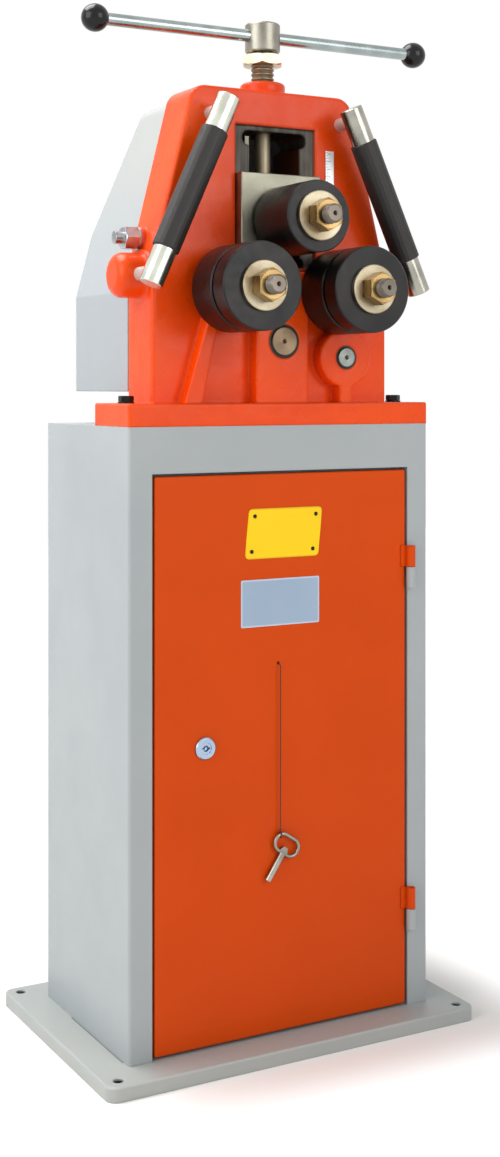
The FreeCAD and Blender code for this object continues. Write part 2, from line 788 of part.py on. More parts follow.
def key_string():
    inside, turn, end = string_route()
    arc_start = turn + V(0, string_bend, 0)
    arc_end = turn - V(0, 0, string_bend)
    middle = turn + V(0, string_bend, -string_bend)
    crown = middle + V(0, -1, 1).normalize() * string_bend
    path = Part.Wire([Part.LineSegment(inside, arc_start).toShape(),
                      Part.Arc(arc_start, crown, arc_end).toShape(),
                      Part.LineSegment(arc_end, end).toShape()])
    section = Part.Wire(Part.makeCircle(string_diameter / 2, inside, Y_AXIS))
    print("string: radius", string_diameter / 2, "bend radius", string_bend,
          "length along its axis", round(path.Length, 2))
    return path.makePipeShell([section], True, False)


def key_directions():
    """Along the barrel towards its tip, and along the bow towards its low end."""
    tilt = math.radians(key_tilt)
    return V(-math.sin(tilt), 0, -math.cos(tilt)), V(math.cos(tilt), 0, -math.sin(tilt))


def tie_place():
    """Where the string holds the bow, from the bow's middle, so that the key hangs in balance."""
    high_end = key_directions()[1] * -key_bow_half
    sideways = -key_tie_offset - high_end.x
    return V(-key_tie_offset, 0, high_end.z + math.sqrt(key_bow_radius ** 2 - sideways ** 2))


def bow_centre():
    end = string_route()[2]
    return end - V(0, 0, loop_radius) - tie_place()


def string_knots():
    inside, turn, end = string_route()
    back = Part.makeSphere(knot_radius, inside)
    back = back.cut(rod(string_diameter / 2, inside, turn))
    loop = Part.makeTorus(loop_radius, string_diameter / 2, bow_centre() + tie_place(), X_AXIS)
    loop = loop.fuse(Part.makeSphere(tie_knot_radius, end + V(0, 0, tie_knot_radius)))
    loop = loop.cut(rod(string_diameter / 2, turn, end))
    return group([back, loop])


def key_bow(centre):
    """Wire bow: two round ends joined by two straight runs."""
    down, across = key_directions()
    pieces = []
    for end in (-1, 1):
        middle = centre + across * (end * key_bow_half)
        ring = Part.makeTorus(key_bow_radius, key_wire_radius, middle, Y_AXIS)
        size = key_bow_radius + key_wire_radius + 1
        keep = Part.makeBox(size, 2 * size, 2 * size, V(0, -size, -size))
        keep.Placement = FreeCAD.Placement(middle, FreeCAD.Rotation(X_AXIS, across * end))
        pieces.append(ring.common(keep))
    for side in (-1, 1):
        middle = centre + down * (side * key_bow_radius)
        half = across * key_bow_half
        pieces.append(rod(key_wire_radius, middle - half, middle + half))
    return pieces[0].fuse(pieces[1:])


def cabinet_key():
    centre = bow_centre()
    down, across = key_directions()
    root = centre + down * key_bow_radius
    tip = root - down * key_web_depth
    shift = V(0, key_web_thickness / 2, 0)
    wide, narrow = across * key_web_half_root, across * key_web_half_tip
    outline = [root - wide, root + wide, tip + narrow, tip - narrow]
    web = polygon_face([point - shift for point in outline]).extrude(shift * 2)
    barrel = rod(key_barrel_radius, root, centre + down * key_reach)
    key = key_bow(centre).fuse([web, barrel])
    bore = rod(key_bore_radius, centre + down * (key_reach - key_bore_depth),
               centre + down * (key_reach + 1))
    return key.cut(bore)


# ================================================================ head casting
def edge_half_width(z):
    """Half width of the head's outline at a height above its shoulder."""
    slope = (head_half_width - head_top_half_width) / (head_top_z - head_shoulder_z)
    return head_half_width - slope * (z - head_shoulder_z)


def head_outline():
    bottom = cabinet_top_z + foot_height / 2
    y = head_front_y
    right = [(head_half_width, bottom), (head_half_width, head_shoulder_z),
             (head_top_half_width, head_top_z)]
    left = [(-half, z) for half, z in reversed(right)]
    points = [V(head_centre_x + half, y, z) for half, z in right + left]
    body = polygon_face(points).extrude(V(0, head_depth, 0))
    corners = [e for e in body.Edges
               if e.BoundBox.YLength > head_depth - 1e-6 and e.BoundBox.ZMin > head_top_z - 1e-6]
    body = body.makeFillet(head_corner_radius, corners)
    rim = [e for e in body.Edges
           if e.BoundBox.YLength < 1e-6 and e.BoundBox.ZMax > bottom + 1e-6]
    return body.makeFillet(head_edge, rim)


def head_foot():
    half = cabinet_width / 2
    foot = box(-half, half, cabinet_front_y, cabinet_front_y + foot_depth, cabinet_top_z,
               foot_top_z)
    rim = [e for e in foot.Edges if e.BoundBox.ZMin > foot_top_z - 1e-6]
    uprights = [e for e in foot.Edges if e.BoundBox.ZLength > foot_height - 1e-6]
    return foot.makeFillet(foot_edge, rim + uprights)


def side_ear(side):
    """Round ear on the side with a rounded end, flared where it grows out of the head."""
    start = head_half_width - ear_depth
    tip = ear_reach - start
    profile = [(0, 0), (ear_radius + ear_root_radius, 0)]
    profile += flare(ear_radius, ear_root_radius, ear_depth)
    profile += [(ear_radius, tip), (0, tip)]
    ear = turned(profile, V(head_centre_x + side * start, spindle_y, ear_z), V(side, 0, 0))
    tip_x = head_centre_x + side * ear_reach
    rim = [e for e in ear.Edges
           if abs(e.BoundBox.Center.x - tip_x) < 1e-3 and e.BoundBox.XLength < 1e-3]
    return ear.makeFillet(ear_edge, rim)


def leaning_rib():
    """Gusset from the foot up the front face, leaning towards the left roll."""
    low, high = foot_top_z - 2 * foot_edge, foot_top_z + rib_height
    y = rib_front_y
    outline = [V(rib_left_bottom, y, low), V(rib_right_bottom, y, low), V(rib_right_top, y, high),
               V(rib_left_top, y, high)]
    rib = polygon_face(outline).extrude(V(0, head_front_y - rib_front_y + 1, 0))
    face = [e for e in rib.Edges if e.BoundBox.YMax < y + 1e-6 and e.BoundBox.ZMax > low + 1e-6]
    return rib.makeFillet(rib_edge, face)


def centre_block():
    """Block under the slide that carries the intermediate shaft."""
    block = box(block_left, block_right, rib_front_y, head_front_y + 1, foot_top_z - 2 * foot_edge,
                block_top_z)
    face = [e for e in block.Edges
            if e.BoundBox.YMax < rib_front_y + 1e-6 and e.BoundBox.ZMax > foot_top_z]
    return block.makeFillet(rib_edge, face)


def input_boss():
    """Round boss of the input shaft, with the neck that joins it to the foot."""
    boss = rod_y(input_boss_radius, input_shaft_x, input_shaft_z, rib_front_y, head_front_y + 1)
    rim = [e for e in boss.Edges if e.BoundBox.YMax < rib_front_y + 1e-6]
    boss = boss.makeFillet(rib_edge, rim)
    half = input_neck_half_width
    neck = box(input_shaft_x - half, input_shaft_x + half, rib_front_y, head_front_y + 1,
               foot_top_z - 2 * foot_edge, input_shaft_z)
    sides = [e for e in neck.Edges
             if e.BoundBox.YMax < rib_front_y + 1e-6 and e.BoundBox.ZLength > 1]
    return boss.fuse(neck.makeFillet(rib_edge, sides))


def top_boss():
    """Boss on top that holds the spindle bush, flared into the bridge."""
    radius = top_boss_radius
    profile = [(0, -head_bridge / 2), (radius, -head_bridge / 2), (radius, 0)]
    profile += flare(radius, top_boss_flare, 0)
    profile += [(radius, top_boss_height), (0, top_boss_height)]
    boss = turned(profile, V(0, spindle_y, head_top_z), Z_AXIS)
    rim = [e for e in boss.Edges if e.BoundBox.ZMin > boss_top_z - 1e-6]
    return boss.makeFillet(top_boss_edge, rim)


def slide_opening():
    opening = box(-slot_half_width, slot_half_width, head_front_y - 1, head_rear_y + 1,
                  slot_bottom_z, slot_top_z)
    reliefs = [(slot_relief_radius, slot_bottom_z + slot_relief_radius / 2),
               (slot_top_relief_radius, slot_top_z - slot_top_relief_radius)]
    for x in (-slot_half_width, slot_half_width):
        for radius, z in reliefs:
            opening = opening.fuse(rod_y(radius, x, z, head_front_y - 1, head_rear_y + 1))
    return opening


def front_way():
    """Shallow machined seat around the opening, with a chamfered edge."""
    def ring(y, grow):
        x, low, high = way_half_width + grow, way_bottom_z - grow, way_top_z + grow
        corners = [V(-x, y, low), V(x, y, low), V(x, y, high), V(-x, y, high)]
        return Part.makePolygon(corners + corners[:1])
    seat = box(-way_half_width, way_half_width, head_front_y - 1, way_y, way_bottom_z, way_top_z)
    edge = Part.makeLoft([ring(head_front_y - 1, way_edge + 1), ring(head_front_y + way_edge, 0)],
                         True, True)
    return seat.fuse(edge)


def shaft_bores():
    """Round holes through the head for the bushes and shafts."""
    front, rear = rib_front_y - 1, head_rear_y + 1
    bores = [rod_y(bush_outer_radius + seat_gap, side * lower_roll_x, lower_roll_z, front, rear)
             for side in (-1, 1)]
    bores.append(rod_y(mid_bush_radius + seat_gap, 0, mid_shaft_z, front, rear))
    bores.append(rod_y(input_bush_radius + seat_gap, input_shaft_x, input_shaft_z, front, rear))
    return bores


def handle_points(side):
    """Top and bottom end of a handle's axis."""
    return (V(side * handle_top_x, handle_y, handle_top_z),
            V(side * handle_bottom_x, handle_y, handle_bottom_z))


def stud_points(side):
    top, bottom = handle_points(side)
    along = (bottom - top).normalize()
    return [top + along * stud_inset, bottom - along * stud_inset]


def stud_seat_y(point):
    """Where a stud meets the casting: the flat face, or the round front of the ear."""
    if abs(point.x - head_centre_x) < head_half_width - stud_radius:
        return head_front_y
    offset = point.z - ear_z
    return spindle_y - math.sqrt(ear_radius ** 2 - offset ** 2)


def head_screw_holes():
    holes = []
    for side in (-1, 1):
        place = V(side * foot_bolt_x, cabinet_front_y + foot_bolt_y, cabinet_top_z - 1)
        bore = bolt_diameter / 2 + bolt_hole_clearance
        holes.append(Part.makeCylinder(bore, foot_height + 2, place))
        for point in stud_points(side):
            seat = stud_seat_y(point)
            holes.append(rod_y(stud_screw_radius + seat_gap, point.x, point.z, seat - 5,
                               seat + stud_screw_depth + 2))
    for place in cover_screw_places():
        holes.append(rod_y(cover_screw_radius + seat_gap, place.x, place.z,
                           head_rear_y - cover_screw_depth, head_rear_y + 1))
    left, tip = gib_screw_points()
    holes.append(rod(gib_screw_radius + seat_gap, left, tip + X_AXIS))
    return holes


def gib_pad():
    """Flat spot on the left cheek that the clamp nut's washer sits on."""
    y = cabinet_front_y + gib_screw_y
    outer = V(gib_pad_face_x(), y, gib_screw_z)
    return rod(gib_washer_radius + gib_pad_margin, outer, outer + X_AXIS * gib_pad_depth)


def gib_pad_face_x():
    """The pad stands just proud of the leaning cheek at the pad's lower edge."""
    lower_edge = gib_screw_z - gib_washer_radius - gib_pad_margin
    return head_centre_x - edge_half_width(lower_edge) - gib_pad_step


def gib_screw_points():
    """Outer end of the clamp screw and its tip on the gib strip."""
    y = cabinet_front_y + gib_screw_y
    return V(gib_screw_end_x, y, gib_screw_z), V(-slot_half_width, y, gib_screw_z)


def head_casting():
    head = head_outline()
    head = head.fuse([head_foot(), top_boss(), side_ear(-1), side_ear(1), gib_pad(), leaning_rib(),
                      centre_block(), input_boss()])
    cuts = [slide_opening(), front_way()] + shaft_bores() + head_screw_holes()
    cuts.append(Part.makeCylinder(spindle_bush_radius + seat_gap, boss_top_z - slot_top_z + 4,
                                  V(0, spindle_y, slot_top_z - 2)))
    for cut in cuts:
        head = head.cut(cut)
    return head.removeSplitter()


def foot_bolt(x, y, top_z, bottom_z):
    """Bolt, washers above and below, and the nut under the cabinet top."""
    bore = bolt_diameter / 2 + seat_gap
    washer_top = top_z + bolt_washer_thickness
    head = chamfered_hexagon(bolt_head_flats, V(x, y, washer_top), Z_AXIS, bolt_head_height)
    nut_z = bottom_z - bolt_washer_thickness - bolt_head_height
    shank_end = nut_z - bolt_end_reach
    shank = Part.makeCylinder(bolt_diameter / 2, washer_top - shank_end, V(x, y, shank_end))
    solids = [head.fuse(shank)]
    for low in (top_z, bottom_z - bolt_washer_thickness):
        washer = Part.makeCylinder(bolt_washer_radius, bolt_washer_thickness, V(x, y, low))
        hole = Part.makeCylinder(bore, bolt_washer_thickness + 2, V(x, y, low - 1))
        solids.append(washer.cut(hole))
    nut = chamfered_hexagon(bolt_head_flats, V(x, y, nut_z), Z_AXIS, bolt_head_height)
    solids.append(nut.cut(Part.makeCylinder(bore, bolt_head_height + 2, V(x, y, nut_z - 1))))
    return solids


def head_bolts():
    solids = []
    under = cabinet_top_z - cabinet_sheet
    outboard_y = (outboard_front_y + outboard_rear_y) / 2
    for side in (-1, 1):
        solids += foot_bolt(side * foot_bolt_x, cabinet_front_y + foot_bolt_y, foot_top_z, under)
        solids += foot_bolt(input_shaft_x + side * outboard_bolt_x, outboard_y,
                            cabinet_top_z + outboard_foot_height, under)
    return group(solids)


# ================================================================ bushes
def flanged_bush(inner, wall, flange_radius, x, z, flange_y, end_y):
    """Bush with its flange at one end; the flange side is the one first named."""
    way = 1 if end_y > flange_y else -1
    outer_y = flange_y - way * bush_flange_thickness
    barrel = rod_y(inner + wall, x, z, *sorted((flange_y, end_y)))
    flange = rod_y(flange_radius, x, z, *sorted((outer_y, flange_y)))
    bore = rod_y(inner + run_gap, x, z, *sorted((outer_y - way, end_y + way)))
    return barrel.fuse(flange).cut(bore)


def shaft_bushes():
    middle = (head_front_y + head_rear_y) / 2
    solids = []
    for side in (-1, 1):
        for face, end in ((head_front_y, middle - 1), (head_rear_y, middle + 1)):
            solids.append(flanged_bush(lower_shaft_radius, bush_wall, bush_flange_radius,
                                       side * lower_roll_x, lower_roll_z, face, end))
    solids.append(tube_y(mid_bush_radius, mid_shaft_radius + run_gap, 0, mid_shaft_z,
                         rib_front_y, head_rear_y))
    for front, rear in ((rib_front_y, head_rear_y), (outboard_front_y, outboard_rear_y)):
        solids.append(tube_y(input_bush_radius, input_shaft_radius + run_gap, input_shaft_x,
                             input_shaft_z, front, rear))
    return group(solids)


def spindle_bush():
    """Bronze nut of the spindle, pressed into the top boss."""
    length = boss_top_z - slot_top_z
    bush = Part.makeCylinder(spindle_bush_radius, length, V(0, spindle_y, slot_top_z))
    bore = Part.makeCylinder(spindle_radius + run_gap, length + 2, V(0, spindle_y, slot_top_z - 1))
    return bush.cut(bore)


# ================================================================ gears
def tooth_angle_half(teeth, radius):
    """Half the angle of a tooth at a radius, for an involute flank."""
    pitch_radius = gear_module * teeth / 2
    base_radius = pitch_radius * math.cos(math.radians(pressure_angle))
    half_pitch = (math.pi * gear_module / 2 - backlash) / (2 * pitch_radius)

    def involute(r):
        angle = math.acos(min(1.0, base_radius / r))
        return math.tan(angle) - angle
    return half_pitch + involute(pitch_radius) - involute(max(radius, base_radius))


def gear_points(teeth, phase):
    """Outline of a spur gear round the origin, as (x, z) points; phase is a tooth's angle."""
    pitch_radius = gear_module * teeth / 2
    base_radius = pitch_radius * math.cos(math.radians(pressure_angle))
    tip = pitch_radius + gear_module * addendum_factor
    root = pitch_radius - gear_module * dedendum_factor
    flank_start = max(root + gear_root_step, base_radius)
    radii = [flank_start, (flank_start + pitch_radius) / 2, pitch_radius,
             (pitch_radius + tip) / 2, tip]
    points = []
    for tooth in range(teeth):
        centre = phase + 2 * math.pi * tooth / teeth
        half_root = tooth_angle_half(teeth, flank_start)
        rising = [(root, half_root)] + [(r, tooth_angle_half(teeth, r)) for r in radii]
        for radius, half in rising:
            points.append((radius * math.cos(centre - half), radius * math.sin(centre - half)))
        for radius, half in reversed(rising):
            points.append((radius * math.cos(centre + half), radius * math.sin(centre + half)))
    return points


def mating_phase(phase, teeth, mate_teeth, direction):
    """Angle of a tooth of the mate, so that the two gears mesh along a direction."""
    gap = direction + math.pi - teeth / mate_teeth * (phase - direction)
    return gap + math.pi / mate_teeth


def spur_gear(teeth, phase, x, z, y0, width):
    ring = [V(x + px, y0, z + pz) for px, pz in gear_points(teeth, phase)]
    return polygon_face(ring).extrude(V(0, width, 0))


def train_phases():
    """Tooth angles of the whole train, from the intermediate pinion outwards."""
    rise = lower_roll_z - mid_shaft_z
    to_right = math.atan2(rise, lower_roll_x)
    to_left = math.atan2(rise, -lower_roll_x)
    to_input = math.atan2(input_shaft_z - mid_shaft_z, input_shaft_x)
    pinion = math.pi / 2
    return {"pinion": pinion,
            "right": mating_phase(pinion, mid_pinion_teeth, roll_gear_teeth, to_right),
            "left": mating_phase(pinion, mid_pinion_teeth, roll_gear_teeth, to_left),
            "wheel": pinion,
            "input": mating_phase(pinion, mid_wheel_teeth, input_pinion_teeth, to_input)}


def roll_gear(side):
    x = side * lower_roll_x
    phase = train_phases()["left" if side < 0 else "right"]
    gear = spur_gear(roll_gear_teeth, phase, x, lower_roll_z, roll_gear_y, roll_gear_width)
    hub_front = head_rear_y + bush_flange_thickness + face_gap
    gear = gear.fuse(rod_y(gear_hub_radius, x, lower_roll_z, hub_front, roll_gear_y + 1))
    return gear.cut(rod_y(gear_seat_radius + seat_gap, x, lower_roll_z, hub_front - 1,
                          roll_gear_y + roll_gear_width + 1))


def mid_wheel():
    phase = train_phases()["wheel"]
    wheel = spur_gear(mid_wheel_teeth, phase, 0, mid_shaft_z, wheel_y, wheel_width)
    front, rear = wheel_y - 1, wheel_y + wheel_width + 1
    web = (gear_module * mid_wheel_teeth / 2 - wheel_rim + gear_hub_radius) / 2
    for turn in range(wheel_holes):
        angle = math.pi / 2 + 2 * math.pi * turn / wheel_holes
        x, z = web * math.cos(angle), mid_shaft_z + web * math.sin(angle)
        wheel = wheel.cut(rod_y(wheel_hole_radius, x, z, front, rear))
    return wheel.cut(rod_y(wheel_seat_radius + seat_gap, 0, mid_shaft_z, front, rear))


# ================================================================ shafts and rolls
def threaded_end(x, z, front_y, back_y):
    """Threaded journal with a chamfered nose and a centre hole."""
    depth, length, r = shaft_thread_depth, back_y - front_y, shaft_thread_radius
    profile = [(0, centre_hole_depth), (centre_hole_radius / 2, centre_hole_depth / 2),
               (centre_hole_radius, 0), (r - shaft_nose_edge, 0)]
    profile += thread_profile(r, depth, shaft_thread_pitch, shaft_nose_edge / 2, length - 1)
    profile += [(r - depth, length), (0, length)]
    return turned(profile, V(x, front_y, z), Y_AXIS)


def roll_journal(x, z):
    """Front part shared by the three roll shafts: thread, roll seat and collar."""
    seat_start = roll_front_y + roll_seat_inset
    thread = threaded_end(x, z, shaft_front_y, seat_start)
    return thread.fuse(rod_y(roll_seat_radius, x, z, seat_start - 0.5, roll_rear_y + 1))


def roll_key(x, z):
    """Feather key between a shaft and its rings."""
    half = roll_key_width / 2
    low, high = roll_seat_radius - roll_key_height, roll_seat_radius + roll_key_rise
    return box(x - half, x + half, roll_front_y + roll_key_inset, roll_rear_y - roll_key_inset,
               z + low, z + high)


def keyway(x, z, y0, y1):
    half = roll_key_width / 2 + seat_gap
    return box(x - half, x + half, y0, y1, z, z + roll_seat_radius + roll_key_rise + seat_gap)


def key_slot(x, z):
    half = roll_key_width / 2 + seat_gap
    low = roll_seat_radius - roll_key_height - seat_gap
    inset = roll_key_inset - seat_gap
    return box(x - half, x + half, roll_front_y + inset, roll_rear_y - inset, z + low,
               z + roll_seat_radius + 2 * roll_key_rise)


def lower_shaft(side):
    x, z = side * lower_roll_x, lower_roll_z
    collar_end = head_front_y - bush_flange_thickness - face_gap
    main_end = head_rear_y + bush_flange_thickness + face_gap
    rear_end = roll_gear_y + roll_gear_width + shaft_rear_reach
    shaft = roll_journal(x, z)
    shaft = shaft.fuse([rod_y(collar_radius, x, z, roll_rear_y, collar_end),
                        rod_y(lower_shaft_radius, x, z, collar_end - 1, main_end),
                        rod_y(gear_seat_radius, x, z, main_end - 1, rear_end)])
    return group([shaft.cut(key_slot(x, z)), roll_key(x, z)])


def ring(x, z, radius, y0, y1):
    """Roll ring with broken edges, its bore and its keyway."""
    length = y1 - y0
    bore = roll_seat_radius + seat_gap
    profile = [(bore, 0), (radius - roll_edge, 0), (radius, roll_edge),
               (radius, length - roll_edge), (radius - roll_edge, length), (bore, length)]
    return turned(profile, V(x, y0, z), Y_AXIS).cut(keyway(x, z, y0 - 1, y1 + 1))


def front_ring(side):
    return ring(side * lower_roll_x, lower_roll_z, lower_roll_radius, roll_front_y,
                roll_front_y + front_ring_length)


def rear_ring(side):
    """Rear ring, with the spigot that makes the groove to the front ring."""
    x, z = side * lower_roll_x, lower_roll_z
    start = roll_front_y + front_ring_length + ring_groove_width
    body = ring(x, z, lower_roll_radius, start, roll_rear_y)
    spigot = ring(x, z, ring_groove_radius, start - ring_groove_width, start + 0.01)
    return body.fuse(spigot).removeSplitter()


def roll_washer(x, z):
    bore = shaft_thread_radius + seat_gap
    profile = [(bore, 0), (roll_washer_radius - 1, 0), (roll_washer_radius, 1),
               (roll_washer_radius, roll_washer_thickness), (bore, roll_washer_thickness)]
    return turned(profile, V(x, washer_front_y, z), Y_AXIS)


def roll_nut(x, z):
    nut = chamfered_hexagon(roll_nut_flats, V(x, nut_front_y, z), Y_AXIS, roll_nut_height)
    return nut.cut(rod_y(shaft_thread_radius + seat_gap, x, z, nut_front_y - 1, washer_front_y + 1))


def mid_shaft():
    """Intermediate shaft with its pinion cut on it."""
    z = mid_shaft_z
    nose_y = rib_front_y - mid_shaft_nose
    pinion_y = roll_gear_y - 1
    pinion_width = roll_gear_width + 2
    length = pinion_y - nose_y + 1
    profile = [(0, centre_hole_depth), (centre_hole_radius, 0), (mid_shaft_radius - 1, 0),
               (mid_shaft_radius, 1), (mid_shaft_radius, length), (0, length)]
    shaft = turned(profile, V(0, nose_y, z), Y_AXIS)
    shaft = shaft.fuse(rod_y(wheel_seat_radius, 0, z, pinion_y,
                             wheel_y + wheel_width + shaft_rear_reach))
    hub = rod_y(gear_hub_radius, 0, z, pinion_y + pinion_width - 0.5, wheel_y)
    pinion = spur_gear(mid_pinion_teeth, train_phases()["pinion"], 0, z, pinion_y, pinion_width)
    return shaft.fuse([pinion, hub])


def input_shaft():
    """Input shaft with its pinion cut on it and a square end for the crank."""
    x, z = input_shaft_x, input_shaft_z
    nose_y = rib_front_y - input_shaft_nose
    square_y = crank_front_y
    length = square_y - nose_y
    profile = [(0, centre_hole_depth), (centre_hole_radius, 0), (input_shaft_radius - 1, 0),
               (input_shaft_radius, 1), (input_shaft_radius, length), (0, length)]
    shaft = turned(profile, V(x, nose_y, z), Y_AXIS)
    pinion = spur_gear(input_pinion_teeth, train_phases()["input"], x, z, wheel_y - 1,
                       wheel_width + 2)
    half, end = crank_square / 2, square_y + crank_hub_length
    square = box(x - half, x + half, square_y - 1, end, z - half, z + half)
    square = square.common(rod_y(crank_square_radius, x, z, square_y - 2, end + 1))
    return shaft.fuse([pinion, square])


# ================================================================ crank
def crank_axis_z():
    return input_shaft_z - crank_length


def crank_arm():
    """Flat arm hanging down from the square, with the fixed pin of the grip."""
    x, z, low = input_shaft_x, input_shaft_z, crank_axis_z()
    y0, y1 = crank_front_y, crank_front_y + crank_thickness
    web = box(x - crank_end_radius, x + crank_end_radius, y0, y1, low, z)
    hub = rod_y(crank_hub_radius, x, z, y0, y0 + crank_hub_length)
    arm = web.fuse([hub, rod_y(crank_end_radius, x, low, y0, y1)])
    pin = rod_y(crank_pin_radius, x, low, y1 - 1, grip_end_y - crank_pin_cap)
    cap = rod_y(crank_pin_cap_radius, x, low, grip_end_y - crank_pin_cap, grip_end_y)
    arm = arm.fuse([pin, cap])
    half, end = crank_square / 2 + seat_gap, y0 + crank_hub_length + 1
    hole = box(x - half, x + half, y0 - 1, end, z - half, z + half)
    hole = hole.common(rod_y(crank_square_radius + seat_gap, x, z, y0 - 1, end))
    return arm.cut(hole)


def crank_grip():
    start = crank_front_y + crank_thickness + face_gap
    end = grip_end_y - crank_pin_cap - face_gap
    length = end - start
    bore, edge = crank_pin_radius + run_gap, crank_grip_edge
    profile = [(bore, 0), (grip_radius - edge, 0), (grip_radius, edge), (grip_waist_radius, length / 2),
               (grip_radius, length - edge), (grip_radius - edge, length), (bore, length)]
    return turned(profile, V(input_shaft_x, start, crank_axis_z()), Y_AXIS)


def outboard_bearing():
    x = input_shaft_x
    y0, y1 = outboard_front_y, outboard_rear_y
    foot = box(x - outboard_foot_half_width, x + outboard_foot_half_width, y0, y1,
               cabinet_top_z, cabinet_top_z + outboard_foot_height)
    half = outboard_half_width
    web = box(x - half, x + half, y0, y1, cabinet_top_z, input_shaft_z)
    bearing = foot.fuse([web, rod_y(half, x, input_shaft_z, y0, y1)])
    bearing = bearing.cut(rod_y(input_bush_radius + seat_gap, x, input_shaft_z, y0 - 1, y1 + 1))
    for hole in cabinet_top_holes():
        bearing = bearing.cut(hole)
    return bearing.removeSplitter()


# ================================================================ slider
def slider_block():
    """Front plate on the ways and lower guide block in the opening, in one piece."""
    left = -slot_half_width + gib_thickness + slide_gap
    right = slot_half_width - slide_gap
    plate = box(-slider_half_width, slider_half_width, slider_front_y, way_y - slide_gap,
                slider_bottom_z, slider_top_z)
    lower = [e for e in plate.Edges
             if e.BoundBox.YLength > 1 and e.BoundBox.ZMax < slider_bottom_z + 1e-6]
    plate = plate.makeFillet(slider_bottom_radius, lower)
    upper = [e for e in plate.Edges
             if e.BoundBox.YLength < 1e-6 and e.BoundBox.YMax < slider_front_y + 1e-6]
    plate = plate.makeChamfer(1.0, upper)
    guide = box(left, right, way_y - slide_gap - 1, head_rear_y + slide_gap, slider_bottom_z,
                guide_top_z)
    slider = plate.fuse(guide)
    bore = rod_y(top_shaft_radius + top_bush_wall + seat_gap, 0, top_roll_z, slider_front_y - 1,
                 head_rear_y + 2)
    depth = spindle_foot_height + face_gap
    foot_pocket = Part.makeCylinder(spindle_foot_radius + face_gap, depth + 1,
                                    V(0, spindle_y, guide_top_z - depth))
    slider = slider.cut(bore).cut(foot_pocket)
    for x, z in keeper_screw_places():
        slider = slider.cut(rod_y(keeper_screw_radius + seat_gap, x, z,
                                  head_rear_y - keeper_screw_depth - 2, head_rear_y + 2))
    return slider.removeSplitter()


def keeper_screw_places():
    middle = (slider_bottom_z + guide_top_z) / 2
    return [(gib_thickness / 2 + sx * keeper_screw_x, middle + sz * keeper_screw_z)
            for sx in (-1, 1) for sz in (-1, 1)]


def slider_keeper():
    """Plate on the slider's back that runs on the head's rear face."""
    keeper = box(-keeper_half_width, keeper_half_width, keeper_front_y, keeper_rear_y,
                 slider_bottom_z, slider_top_z)
    keeper = keeper.cut(rod_y(top_shaft_radius + top_bush_wall + seat_gap, 0, top_roll_z,
                              keeper_front_y - 1, keeper_rear_y + 1))
    for x, z in keeper_screw_places():
        keeper = keeper.cut(rod_y(keeper_screw_radius + seat_gap, x, z, keeper_front_y - 1,
                                  keeper_rear_y + 1))
    return keeper


def keeper_screws():
    screws = []
    for x, z in keeper_screw_places():
        shank = rod_y(keeper_screw_radius, x, z, head_rear_y - keeper_screw_depth, keeper_rear_y + 1)
        head = rod_y(keeper_screw_head_radius, x, z, keeper_rear_y,
                     keeper_rear_y + keeper_screw_head_height)
        socket = hexagon(keeper_socket_flats, V(x, keeper_rear_y + 2, z), Y_AXIS,
                         keeper_screw_head_height)
        screws.append(shank.fuse(head).cut(socket))
    return group(screws)


def top_roll_bushes():
    middle = (slider_front_y + keeper_rear_y) / 2
    inner = top_shaft_radius + run_gap
    outer = top_shaft_radius + top_bush_wall
    return group([tube_y(outer, inner, 0, top_roll_z, slider_front_y, middle - 1),
                  tube_y(outer, inner, 0, top_roll_z, middle + 1, keeper_rear_y)])


def spindle_retainer():
    """Split plate on the slider that holds the spindle's foot down."""
    half_l, half_w = retainer_length / 2, retainer_width / 2
    centre = gib_thickness / 2
    halves = []
    for side in (-1, 1):
        x0, x1 = sorted((centre + side * half_l, side * retainer_split / 2))
        plate = box(x0, x1, spindle_y - half_w, spindle_y + half_w, guide_top_z, slider_top_z)
        neck = Part.makeCylinder(spindle_stem_radius + run_gap, retainer_thickness + 2,
                                 V(0, spindle_y, guide_top_z - 1))
        halves.append(plate.cut(neck))
    return group(halves)


def top_shaft():
    z = top_roll_z
    collar_end = slider_front_y - face_gap
    rear = keeper_rear_y + face_gap
    shaft = roll_journal(0, z)
    shaft = shaft.fuse([rod_y(collar_radius, 0, z, roll_rear_y, collar_end),
                        rod_y(top_shaft_radius, 0, z, collar_end - 1, rear + 1),
                        rod_y(top_collar_rear_radius, 0, z, rear, rear + top_collar_rear_thickness)])
    return group([shaft.cut(key_slot(0, z)), roll_key(0, z)])


def gib_strip():
    return box(-slot_half_width, -slot_half_width + gib_thickness, way_y + gib_end_inset,
               head_rear_y - gib_end_inset, gib_bottom_z, gib_top_z)


def gib_adjuster():
    """Clamp screw through the left cheek, with washer and nut."""
    left, tip = gib_screw_points()
    screw = rod(gib_screw_radius, left, tip)
    face = V(gib_pad_face_x(), left.y, left.z)
    outer = face - V(gib_washer_thickness, 0, 0)
    end = outer - V(gib_nut_height, 0, 0)
    bore = rod(gib_screw_radius + seat_gap, end - X_AXIS, face + X_AXIS)
    washer = rod(gib_washer_radius, outer, face)
    nut = chamfered_hexagon(gib_nut_flats, end, X_AXIS, gib_nut_height)
    return group([screw, washer.cut(bore), nut.cut(bore)])


